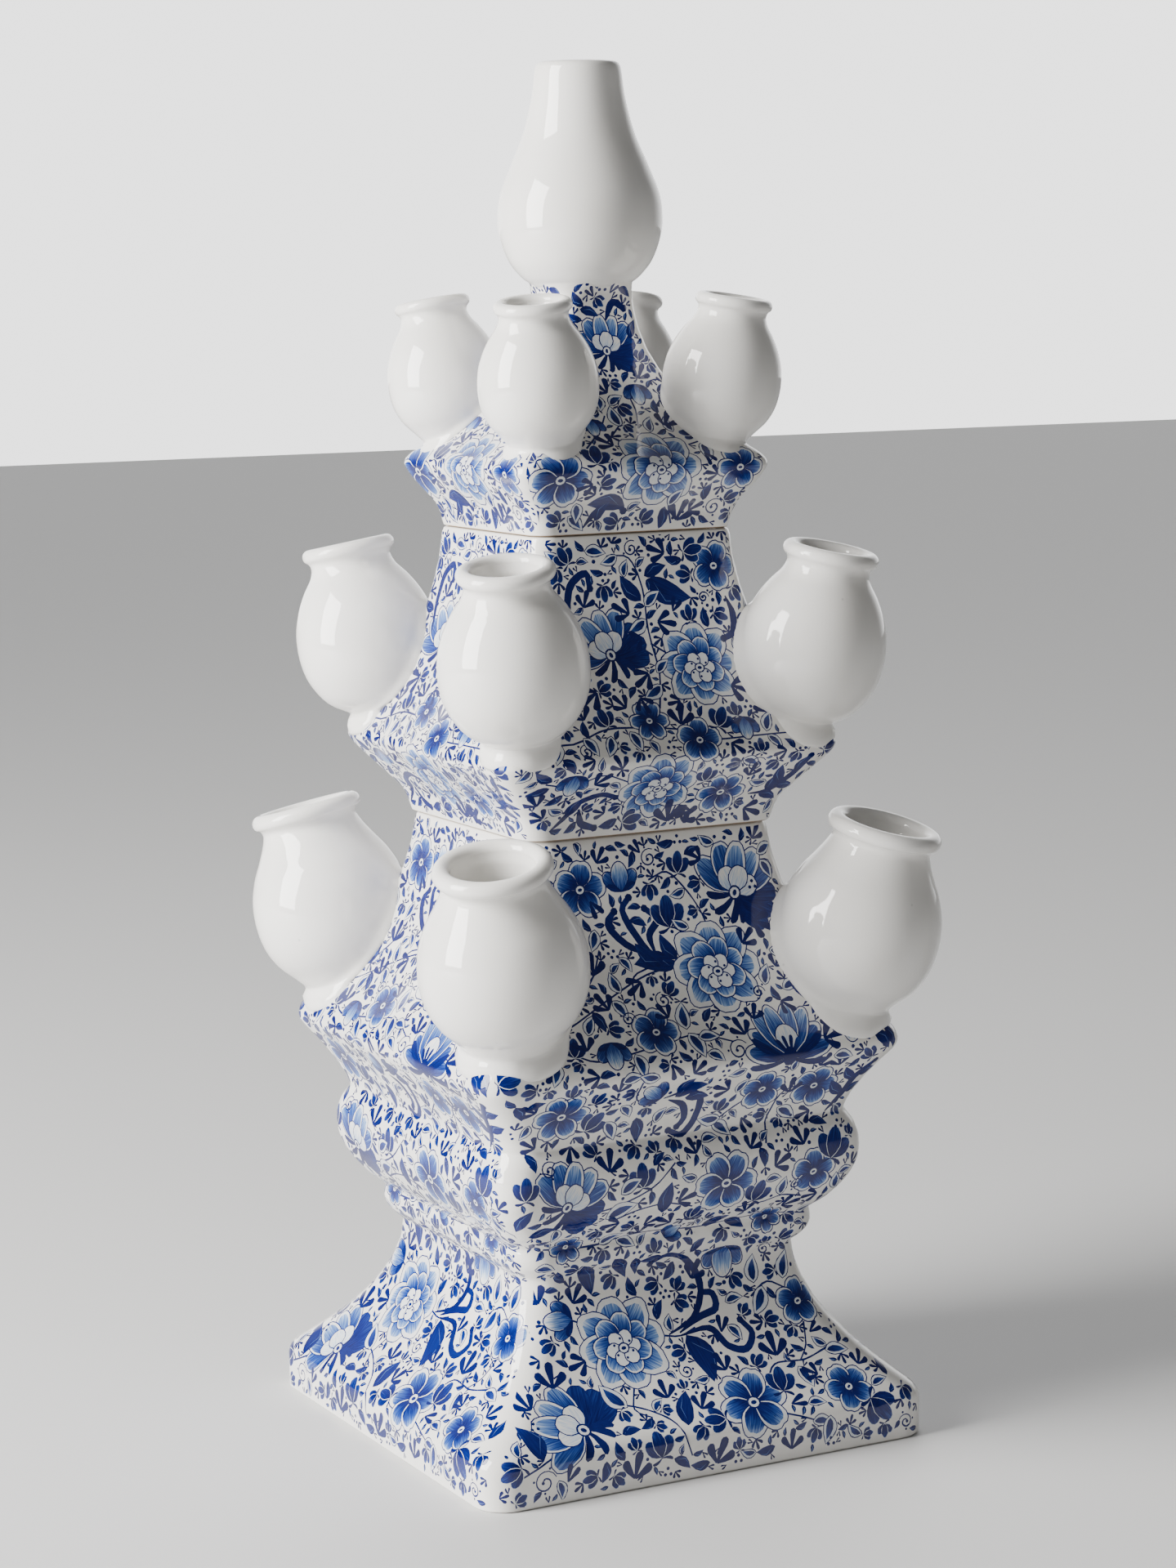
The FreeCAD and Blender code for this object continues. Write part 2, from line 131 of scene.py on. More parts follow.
def comma_shape(x, y, angle, length, width, bend=0.0, n=7):
    """A brush dab: thin where it starts and round where it ends."""
    left, right = [], []
    for i in range(n + 1):
        a = 1 - (1 - i / n) ** 1.4
        mid = 4 * bend * length * a * (1 - a)
        half = 0.5 * width * (0.18 + 0.82 * a ** 1.2) * math.sqrt(max(0.0, 1 - a ** 5))
        left.append(at(x, y, angle, a * length, mid + half))
        if i < n:
            right.append(at(x, y, angle, a * length, mid - half))
    return left + right[::-1]


def curve(points, step=1.3):
    """A smooth line through a few points."""
    p = [Vector(q) for q in points]
    p = [2 * p[0] - p[1]] + p + [2 * p[-1] - p[-2]]
    out = []
    for i in range(1, len(p) - 2):
        n = max(2, int((p[i + 1] - p[i]).length / step))
        for k in range(n):
            t = k / n
            out.append(0.5 * (2 * p[i] + (p[i + 1] - p[i - 1]) * t
                              + (2 * p[i - 1] - 5 * p[i] + 4 * p[i + 1] - p[i + 2]) * t * t
                              + (3 * p[i] - p[i - 1] - 3 * p[i + 1] + p[i + 2]) * t ** 3))
    return out + [p[-2]]


def stroke(points, widths):
    """A line with a width that changes evenly along it, as an outline."""
    left, right = [], []
    n = len(points)
    for i, q in enumerate(points):
        d = (points[min(i + 1, n - 1)] - points[max(i - 1, 0)]).normalized()
        w = 0.5 * float(np.interp(i / (n - 1), np.linspace(0, 1, len(widths)), widths))
        left.append((q.x - d.y * w, q.y + d.x * w))
        right.append((q.x + d.y * w, q.y - d.x * w))
    return left + right[::-1]


def dot(x, y, r=0.6, ink=0.9):
    put(oval(x, y, r, r, n=7), ink)


def dots(x, y, gap=1.25, r=0.62):
    """Three dots that fill an empty place."""
    for a in (90, 215, 325):
        dot(*at(x, y, a, gap, 0), r)


def stem(*points, w=0.7):
    put(stroke(curve(points, 1.8), [w, w * 0.8]), 0.85)


def spiral(x, y, r, angle, hand=1):
    """A tendril that curls in to a dot, with a dot at each turn."""
    line = []
    for i in range(22):
        t = i / 21
        line.append(Vector(at(x, y, angle + hand * 520 * t, r * (1 - 0.82 * t), 0)))
    put(stroke(line, [0.35, 0.6, 0.45]), 0.85)
    dot(line[-1].x, line[-1].y, 0.62)
    for k in (2, 6, 10):
        dot(*at(line[k].x, line[k].y, angle + hand * 520 * k / 21, 0.9, 0), 0.45)


def leaf(x, y, angle, length, kind="half", bend=0.06):
    """A leaf: solid dark, or outlined with a pale margin and a dark heart."""
    width = length * (0.48 if kind == "dark" else 0.56)
    tip = at(x, y, angle, length, 0)
    shape = leaf_shape(x, y, angle, length, width, bend)
    put(shape, 0.92, 0.80, 0.35, (x, y), tip, width / 2)
    if kind == "half":
        put(inset(shape, PEN * 0.8), 0.05, 0.04, 0.05)
        a = at(x, y, angle, length * 0.10, 0)
        heart = leaf_shape(*a, angle, length * 0.74, width * 0.50, bend)
        put(heart, 0.92, 0.55, 0.5, (x, y), tip, width / 3)
    else:
        a, b = at(x, y, angle, length * 0.14, 0), at(x, y, angle, length * 0.5, 2.6 * bend * length)
        line = [Vector(a), Vector(b), Vector(at(x, y, angle, length * 0.84, 1.4 * bend * length))]
        put(stroke(line, [0.12, 0.26, 0.1]), 0.42)


def sprig(x, y, angle, r, n=3):
    """Brush dabs that fan out of one point."""
    spread = 44 if n == 3 else 34
    for i in range(n):
        k = i - (n - 1) / 2
        long = r * (1.0 if abs(k) < 0.6 else 0.80)
        put(comma_shape(x, y, angle + k * spread, long, r * 0.50, 0.05 * k), 0.90, 0.95, 0.2,
            (x, y), at(x, y, angle + k * spread, long, 0), r * 0.2)


def lobe(x, y, angle, length, width, base, tip, lobes=2, depth=0.1, margin=0.9, streak=0.5):
    """One petal: pen outline, white margin, and a wash that fades towards its end."""
    shape = petal_shape(x, y, angle, length, width, lobes, depth)
    end = at(x, y, angle, length, 0)
    put(shape, 0.86, 0.82, 0.2, (x, y), end, width / 2)
    inner = inset(shape, PEN)
    if margin > 0:
        put(inner, 0.05, 0.03, 0.05, (x, y), end, width / 2)
        inner = petal_shape(*at(x, y, angle, 0.05 * length, 0), angle, length - 2 * margin - 0.05 * length,
                            width - 2.6 * margin, lobes, depth * 0.8)
    put(inner, base, tip, streak, (x, y), end, width / 2)


def eye(x, y, r, angle=0.0):
    """The heart of a flower."""
    put(oval(x, y, r, r * 0.92, angle, 12), 0.92)
    put(oval(x, y, r * 0.74, r * 0.68, angle, 10), 0.04)
    put(oval(x, y, r * 0.44, r * 0.30, angle, 8), 0.9)


def rose(x, y, r, turn=0.0, n=5):
    """An open flower with one ring of notched petals."""
    r *= 1.14
    for i in range(n):
        lobe(x, y, turn + 360 * i / n, r, r * 4.6 / n, 1.0, 0.28, 2, 0.16, 0.075 * r)
    for i in range(n):
        a = turn + 360 * (i + 0.5) / n
        put(comma_shape(*at(x, y, a, 0.20 * r, 0), a, 0.34 * r, 0.09 * r), 0.9)
    eye(x, y, 0.20 * r, turn)


def peony(x, y, r, turn=0.0):
    """A full flower: scalloped outer petals, washed inner ones, white lobes round the heart."""
    r *= 1.08
    for i in range(8):
        odd = i % 2
        lobe(x, y, turn + 45 * i, r * (0.97 + 0.05 * odd), r * 0.72, 0.95, 0.20, 2 + odd, 0.10, 0.07 * r)
    for i in range(7):
        lobe(x, y, turn + 22 + 51.4 * i, r * 0.66, r * 0.50, 1.0, 0.22, 2, 0.10, 0.03 * r)
    cx, cy = at(x, y, turn - 90, 0.08 * r, 0)
    for i in range(6):
        lobe(cx, cy, turn + 60 * i, r * 0.40, r * 0.34, 0.05, 0.03, 0, 0.0, 0.0, 0.05)
    eye(cx, cy, 0.13 * r, turn)
    for i in range(6):
        dot(*at(cx, cy, turn + 30 + 60 * i, 0.20 * r, 0), 0.03 * r)


def lotus(x, y, r, angle, dark=0.95):
    """A flower from the side: long petals fan out of a dark calyx."""
    r *= 1.12
    for k in (-78, 78, -52, 52):
        lobe(x, y, angle + k, r * 0.98, r * 0.46, dark, 0.55, 0, 0, 0.05 * r, 0.6)
    for k in (-30, 30, -10, 12):
        lobe(x, y, angle + k, r * 1.12, r * 0.44, 0.8, 0.30, 0, 0, 0.035 * r, 0.6)
    for k in (-100, 100, -60, 60):
        put(comma_shape(x, y, angle + k, r * 0.86, r * 0.26, 0.10 * (1 if k > 0 else -1)), 0.98, 0.86, 0.3,
            (x, y), at(x, y, angle + k, r, 0), r * 0.2)
    lobe(*at(x, y, angle, 0.05 * r, 0), angle, r * 0.62, r * 0.50, 0.10, 0.04, 0, 0, 0.03 * r, 0.3)
    for k in (-34, -12, 12, 34):
        put(comma_shape(x, y, angle + k, r * 0.44, r * 0.13), 0.95, 0.55, 0.3)
    put(oval(x, y, 0.20 * r, 0.15 * r, angle), 0.95)


def bloom(x, y, r, angle):
    """A big flower seen half from the side, dark on its under side."""
    r *= 1.18
    for k in (-120, -96, -70):
        lobe(x, y, angle + k, r * 0.92, r * 0.52, 1.0, 0.78, 2, 0.10, 0.0, 0.5)
    for k in (-38, 70, 38):
        lobe(x, y, angle + k, r * 1.05, r * 0.55, 0.85, 0.42, 2, 0.08, 0.04 * r, 0.6)
    for k in (-12, 14):
        lobe(x, y, angle + k, r * 1.02, r * 0.50, 0.7, 0.25, 2, 0.08, 0.05 * r, 0.5)
    for k in (-44, 44, 0):
        lobe(x, y, angle + k, r * 0.56, r * 0.44, 0.12, 0.03, 2, 0.08, 0.03 * r, 0.3)
    for k in (-150, 150, 110, -172):
        put(comma_shape(x, y, angle + k, r * 0.62, r * 0.24, 0.1), 0.98, 0.86, 0.3)
    eye(x, y, 0.15 * r, angle)


def bud(x, y, angle, r):
    """A closed flower, solid blue, with a white line between its petals."""
    for k in (-36, 36, 0):
        shape = petal_shape(x, y, angle + k, r * (1.5 if k else 1.75), r * 0.95, 1, 0.05, 14)
        put(shape, 0.05)
        put(inset(shape, 0.24), 1.0, 0.72, 0.55, (x, y), at(x, y, angle + k, r * 1.7, 0), r * 0.5)
    for k in (-110, 110):
        put(comma_shape(x, y, angle + k, r * 0.75, r * 0.34, 0.1), 0.92)


def tulip(x, y, angle, r):
    """A round pale bud held by dark sepals."""
    for k in (-40, 40):
        lobe(x, y, angle + k, r * 1.55, r * 0.95, 0.95, 0.5, 0, 0, 0.05 * r, 0.5)
    lobe(x, y, angle, r * 1.75, r * 1.15, 0.62, 0.06, 0, 0, 0.07 * r, 0.5)
    for k in (-64, 64):
        put(comma_shape(x, y, angle + k, r * 1.0, r * 0.34, -0.12 * (1 if k > 0 else -1)), 0.92)
    dot(*at(x, y, angle, r * 1.95, 0), 0.07 * r + 0.3)


def scroll(*points, w=2.6, ball=1.0):
    """A heavy leaf scroll that ends in a round head."""
    line = curve(points, 1.3)
    put(stroke(line, [0.5, w * 0.9, w, w * 0.75]), 0.98, 0.86, 0.3, tuple(line[0]), tuple(line[-1]), w)
    dot(line[-1].x, line[-1].y, w * 0.52 * ball, 0.95)


def smooth_profile(points, step, soften):
    """Points (half width, height, corner radius) resampled along the profile, creases softened."""
    p = np.array(points, float)
    d = np.r_[0, np.cumsum(np.hypot(np.diff(p[:, 0]), np.diff(p[:, 1])))]
    fine = np.arange(0, d[-1], 0.1)
    q = np.stack([np.interp(fine, d, p[:, i]) for i in range(3)], 1)
    pad = int(soften * 40)
    kernel = np.exp(-0.5 * (np.arange(-pad, pad + 1) * 0.1 / soften) ** 2)
    kernel /= kernel.sum()
    soft = np.stack([np.convolve(np.pad(q[:, i], pad, mode="reflect", reflect_type="odd"), kernel, "valid")
                     for i in range(3)], 1)
    tangent = np.gradient(soft[:, :2], axis=0)
    bend = np.abs(np.gradient(np.unwrap(np.arctan2(tangent[:, 1], tangent[:, 0])))) / 0.1
    # rows come closer together where the profile bends
    rate = 1 / step + np.minimum(bend * 2.4, 0.9)
    count = np.cumsum(rate) * 0.1
    n = int(round(count[-1] - count[0]))
    s = np.interp(np.linspace(count[0], count[-1], n + 1), count, fine)
    row = np.stack([np.interp(s, fine, soft[:, i]) for i in range(3)], 1)
    t = np.stack([np.interp(s, fine, tangent[:, i]) for i in range(2)], 1)
    t /= np.linalg.norm(t, axis=1)[:, None]
    return s, row, t


def topmost(mid, outlines):
    """For each point, the last painted outline that covers it, or -1."""
    top = np.full(len(mid), -1)
    order = np.argsort(mid[:, 1])
    level = mid[order, 1]
    for k, outline in enumerate(outlines):
        q = np.array(outline)
        lo, hi = np.searchsorted(level, (q[:, 1].min(), q[:, 1].max()))
        near = order[lo:hi]
        near = near[(mid[near, 0] > q[:, 0].min()) & (mid[near, 0] < q[:, 0].max())]
        if not len(near):
            continue
        x, y = mid[near, 0][:, None], mid[near, 1][:, None]
        nxt = np.roll(q, -1, axis=0)
        x0, y0, x1, y1 = q[:, 0], q[:, 1], nxt[:, 0], nxt[:, 1]
        side = (x1 - x0) * (y - y0) - (x - x0) * (y1 - y0)
        wind = ((y0 <= y) & (y1 > y) & (side > 0)).sum(1) - ((y0 > y) & (y1 <= y) & (side < 0)).sum(1)
        top[near[wind != 0]] = k
    return top


ARC = 4  # steps in half a corner


def draw(table, painted, seed):
    """Paints a face from a list of (motif, its numbers), then fills its gaps with small leaves."""
    up, rows, _ = painted
    width = rows[:, 0] - 0.45 * rows[:, 2]
    del shapes[:]
    for entry in table:
        entry[0](*entry[1:])
    rng = np.random.default_rng(seed)
    tries, margin = 9000, 1.2
    smallest, largest = 1.05, 3.6
    s = rng.uniform(margin, up[-1] - margin, tries)
    half = np.interp(s, up, width)
    x = rng.uniform(-1, 1, tries) * half
    free = topmost(np.stack([x, s], 1), [q[0] for q in shapes]) < 0
    place = np.stack([x, s], 1)[free]
    # how far each free place is from the nearest edge or shape
    room = half[free] - np.abs(place[:, 0])
    room = np.minimum(np.minimum(room, place[:, 1] - 0.8), up[-1] - 0.6 - place[:, 1]) + 0.6
    near = np.zeros_like(place)
    used = 0
    while True:
        pts = np.array([q for shape in shapes[used:] for q in shape[0]])
        used = len(shapes)
        for a in range(0, len(pts), 400):
            some = pts[a:a + 400]
            d = np.hypot(place[:, None, 0] - some[None, :, 0], place[:, None, 1] - some[None, :, 1])
            k = d.argmin(1)
            d = d[np.arange(len(place)), k]
            closer = d < room
            room[closer] = d[closer]
            near[closer] = some[k[closer]]
        best = int(room.argmax())
        r = 1.12 * (float(room[best]) - 0.15)
        if r < smallest:
            break
        c, q = place[best], near[best]
        # a leaf or sprig grows away from what is nearest
        way = math.degrees(math.atan2(c[1] - q[1], c[0] - q[0])) if abs(q).sum() else rng.uniform(0, 360)
        r = min(r, largest)
        foot = at(c[0], c[1], way, -r, 0)
        pick = rng.random()
        if r > 2.6 and pick < 0.5:
            bud(*at(c[0], c[1], way, -0.8 * r, 0), way, r * 0.92)
        elif r > 2.0:
            leaf(*foot, way, 2 * r, "dark" if pick < 0.75 else "half", 0.1 if pick > 0.4 else -0.1)
        elif r > 1.35:
            if pick < 0.55:
                leaf(*foot, way, 2 * r, "dark", 0.05)
            else:
                sprig(*foot, way, 2.0 * r, 3)
        elif pick < 0.7:
            sprig(*foot, way, 2.0 * r, 2)
        else:
            dot(c[0], c[1], 0.55 * r)
        room[np.hypot(place[:, 0] - c[0], place[:, 1] - c[1]) < 0.5] = 0
    return list(shapes)


def lay(u, w, z, r, t):
    """A point u across the front face, on a rounded square, with its normal."""
    flat = w - r
    turn = np.clip((np.abs(u) - flat) / np.maximum(r, 1e-6), 0, None) * (np.abs(u) > flat)
    side = np.sign(u)
    x = np.where(turn > 0, side * (flat + r * np.sin(turn)), u)
    y = -np.where(turn > 0, flat + r * np.cos(turn), w)
    n = np.stack([side * np.sin(turn) * t[:, 1], -np.cos(turn) * t[:, 1], -t[:, 0]], -1)
    return np.stack([x, y, z], -1), n


def tier_mesh(name, painted, before, after, table, bare=()):
    """A closed tier. painted is its printed outside, before and after close it below and above.

    before and after are lists of (half width, height, corner radius) that go on from its ends.
    """
    s, row, t = painted
    ends = row[:, 0] - row[:, 2] + row[:, 2] * math.pi / 4
    cols = []
    for k in range(-ARC, ARC + 1):
        if k < 0:
            cols.append(-(row[:, 0] - row[:, 2] + row[:, 2] * (-k) / ARC * math.pi / 4))
        elif k > 0:
            cols.append(row[:, 0] - row[:, 2] + row[:, 2] * k / ARC * math.pi / 4)
    cols.insert(ARC, -(row[:, 0] - row[:, 2]))
    cols.insert(ARC + 1, row[:, 0] - row[:, 2])
    cols = np.array(cols)  # 2 * ARC + 2 lines up the face
    nc, nr = len(cols), len(s)
    pts = [(float(cols[c, i]), float(s[i])) for i in range(nr) for c in range(nc)]
    edges = [(i * nc + c, i * nc + c + 1) for i in range(nr) for c in range(nc - 1)]
    edges += [(i * nc + c, (i + 1) * nc + c) for i in range(nr - 1) for c in range(nc)]
    faces = []
    for points, *_ in table:
        start = len(pts)
        for x, y in points:
            y = min(max(y, s[0] + 0.4), s[-1] - 0.4)
            lim = float(np.interp(y, s, ends)) - 0.3
            pts.append((min(max(x, -lim), lim), y))
        faces.append(list(range(start, len(pts))))
    outlines = [[pts[i] for i in f] for f in faces]

    def fill(points, lines, loops):
        """Triangles across one face, and which shape each of them shows."""
        v2, _, f2, _, _, _ = delaunay_2d_cdt([Vector(p) for p in points], lines, loops, 0, 1e-4, True)
        v2 = np.array([tuple(v) for v in v2])
        f2 = np.array([f for f in f2])
        mid = v2[f2].mean(axis=1)
        tri = f2[np.abs(mid[:, 0]) < np.interp(mid[:, 1], s, ends)]
        return v2, tri, topmost(v2[tri].mean(axis=1), outlines)

    v2, tri, top = fill(pts, edges, faces)
    # the outlines that show are kept, with as few points as hold their shape, and filled again
    pairs = np.sort(np.concatenate([tri[:, [0, 1]], tri[:, [1, 2]], tri[:, [2, 0]]]), axis=1)
    owner = np.tile(top, 3)
    order = np.lexsort((pairs[:, 1], pairs[:, 0]))
    pairs, owner = pairs[order], owner[order]
    shown = pairs[1:][(pairs[1:] == pairs[:-1]).all(axis=1) & (owner[1:] != owner[:-1])]
    near = {}
    for a, b in shown.tolist():
        near.setdefault(a, set()).add(b)
        near.setdefault(b, set()).add(a)
    at2 = v2.tolist()
    longest = 7.0
    for limit in (0.02, 0.06, 0.11, 0.15, 0.15):
        for v in list(near):
            if len(near[v]) != 2:
                continue
            a, b = near[v]
            dx, dy = at2[b][0] - at2[a][0], at2[b][1] - at2[a][1]
            ex, ey = at2[v][0] - at2[a][0], at2[v][1] - at2[a][1]
            length = math.hypot(dx, dy)
            if b in near[a] or length > longest or abs(dx * ey - dy * ex) > limit * length:
                continue
            near[a].remove(v)
            near[b].remove(v)
            near[a].add(b)
            near[b].add(a)
            del near[v]
    keep = {v: nr * nc + k for k, v in enumerate(near)}
    # across a nearly flat stretch a row keeps only its points
    gap = np.minimum(np.diff(s, prepend=-9.0), np.diff(s, append=s[-1] + 9.0))
    whole = [i for i in range(nr) if gap[i] < 1.0 or i in (0, nr - 1)]
    lines = [(i * nc + c, i * nc + c + 1) for i in whole for c in range(nc - 1)]
    lines += [(i * nc + c, (i + 1) * nc + c) for i in range(nr - 1) for c in range(nc)]
    lines += [(keep[a], keep[b]) for a in near for b in near[a] if a < b]
    v2, tri, top = fill(pts[:nr * nc] + [tuple(at2[v]) for v in near], lines, [])
    across = [np.interp(v2[:, 1], s, row[:, i]) for i in range(3)]
    tangent = np.stack([np.interp(v2[:, 1], s, t[:, i]) for i in range(2)], 1)
    p3, n3 = lay(v2[:, 0], across[0], across[1], across[2], tangent)
    # ink per corner of every triangle
    ink = np.zeros((len(tri), 3, 4))
    uv = np.zeros((len(tri), 3, 2))
    for i, o in enumerate(top):
        if o < 0:
            continue
        _, (base, tip, streak), a, b, side = table[o]
        d = np.array([b[0] - a[0], b[1] - a[1]])
        q = v2[tri[i]] - np.array(a)
        ink[i, :, :3] = (base, tip, streak)
        uv[i, :, 0] = q @ d / (d @ d)
        uv[i, :, 1] = (q[:, 1] * d[0] - q[:, 0] * d[1]) / math.sqrt(d @ d) / side + 0.37 * (o % 17)
    verts, normals, polys, inks, uvs = [], [], [], [], []
    index = {}

    def vertex(p, n):
        key = (round(float(p[0]), 3), round(float(p[1]), 3), round(float(p[2]), 3))
        if key not in index:
            index[key] = len(verts)
            verts.append(p)
            normals.append(n)
        return index[key]

    for q in range(4):
        c, k = round(math.cos(q * math.pi / 2)), round(math.sin(q * math.pi / 2))
        turn = np.array([[c, -k, 0], [k, c, 0], [0, 0, 1]], float)
        here = [vertex(p, n) for p, n in zip(p3 @ turn.T, n3 @ turn.T)]
        for f, corner_ink, corner_uv in zip(tri, ink, uv):
            ids = [here[i] for i in f]
            if len(set(ids)) == 3:
                polys.append(ids)
                inks.append(corner_ink)
                uvs.append(corner_uv)
    # plain rings close the form below and above the print
    for rings, edge_row in ((before, 0), (after, nr - 1)):
        ring_cols = []
        chain = [tuple(row[edge_row])] + list(rings)
        for j, (w, z, r) in enumerate(chain):
            a, b = chain[max(j - 1, 0)], chain[min(j + 1, len(chain) - 1)]
            way = 1 if edge_row else -1
            out, up = way * (b[1] - a[1]), -way * (b[0] - a[0])
            u = []
            for kk in range(-ARC, ARC + 1):
                if kk == 0:
                    u += [-(w - r), w - r]
                else:
                    u.append(math.copysign(w - r + r * abs(kk) / ARC * math.pi / 4, kk))
            u = np.array(u)
            one = np.ones(len(u))
            p, n = lay(u, w * one, z * one, r * one, np.stack([-up * one, out * one], 1))
            loop = []
            for q in range(4):
                c, k = round(math.cos(q * math.pi / 2)), round(math.sin(q * math.pi / 2))
                turn = np.array([[c, -k, 0], [k, c, 0], [0, 0, 1]], float)
                loop += [vertex(pp, nn) for pp, nn in list(zip(p @ turn.T, n @ turn.T))[:-1]]
            ring_cols.append(loop)
        for j in range(len(ring_cols) - 1):
            a, b = ring_cols[j], ring_cols[j + 1]
            mark = 1.0 if (edge_row == 0 and j in bare) else 0.0
            for i in range(len(a)):
                i2 = (i + 1) % len(a)
                quad = [a[i], a[i2], b[i2], b[i]] if edge_row else [a[i2], a[i], b[i], b[i2]]
                polys.append(quad)
                inks.append(np.array([[0, 0, 0, mark]] * 4))
                uvs.append(np.zeros((4, 2)))
        last = ring_cols[-1]
        cap = last if edge_row else last[::-1]
        polys.append(cap)
        inks.append(np.zeros((len(cap), 4)))
        uvs.append(np.zeros((len(cap), 2)))
    mesh = bpy.data.meshes.new(name)
    mesh.from_pydata([tuple(v * 0.001) for v in verts], [], polys)
    colour = mesh.attributes.new("ink", "FLOAT_COLOR", "CORNER")
    colour.data.foreach_set("color", np.concatenate(inks).ravel())
    mesh.uv_layers.new(name="petal").uv.foreach_set("vector", np.concatenate(uvs).ravel())
    mesh.polygons.foreach_set("use_smooth", [True] * len(mesh.polygons))
    mesh.normals_split_custom_set_from_vertices([Vector(n).normalized() for n in normals])
    mesh.update()
    obj = bpy.data.objects.new(name, mesh)
    bpy.context.collection.objects.link(obj)
    return obj


# the outside from the foot up: half width, height and corner radius in mm
lower_profile = [(w, z, 10.5 if z < 140 else 10.5 - 1.5 * (z - 140) / 64) for w, z in [
    (82.0, 1.0), (82.0, 13.0), (81.5, 14.8), (80.4, 16.6), (78.8, 18.0), (71.8, 24.5), (65.8, 31.0),
    (60.7, 37.5), (56.7, 44.0), (53.8, 50.5), (51.9, 57.0), (51.2, 63.5), (53.7, 65.8), (55.3, 68.1),
    (56.0, 70.4), (55.9, 73.2), (55.4, 75.0), (60.2, 79.2), (63.5, 83.5), (65.9, 87.8), (67.4, 92.0),
    (67.9, 96.2), (67.7, 100.5), (66.5, 104.8), (64.0, 109.0), (65.3, 113.1), (67.4, 117.2), (69.9, 121.4),
    (72.7, 125.5), (75.8, 129.6), (76.9, 131.5), (77.2, 133.4), (76.5, 136.2), (74.8, 138.8), (67.8, 148.0),
    (61.7, 157.2), (56.6, 166.4), (52.4, 175.5), (49.2, 184.7), (46.9, 193.9), (45.6, 202.6), (45.1, 203.8)]]
lower_rows = smooth_profile(lower_profile, 3.0, 0.5)
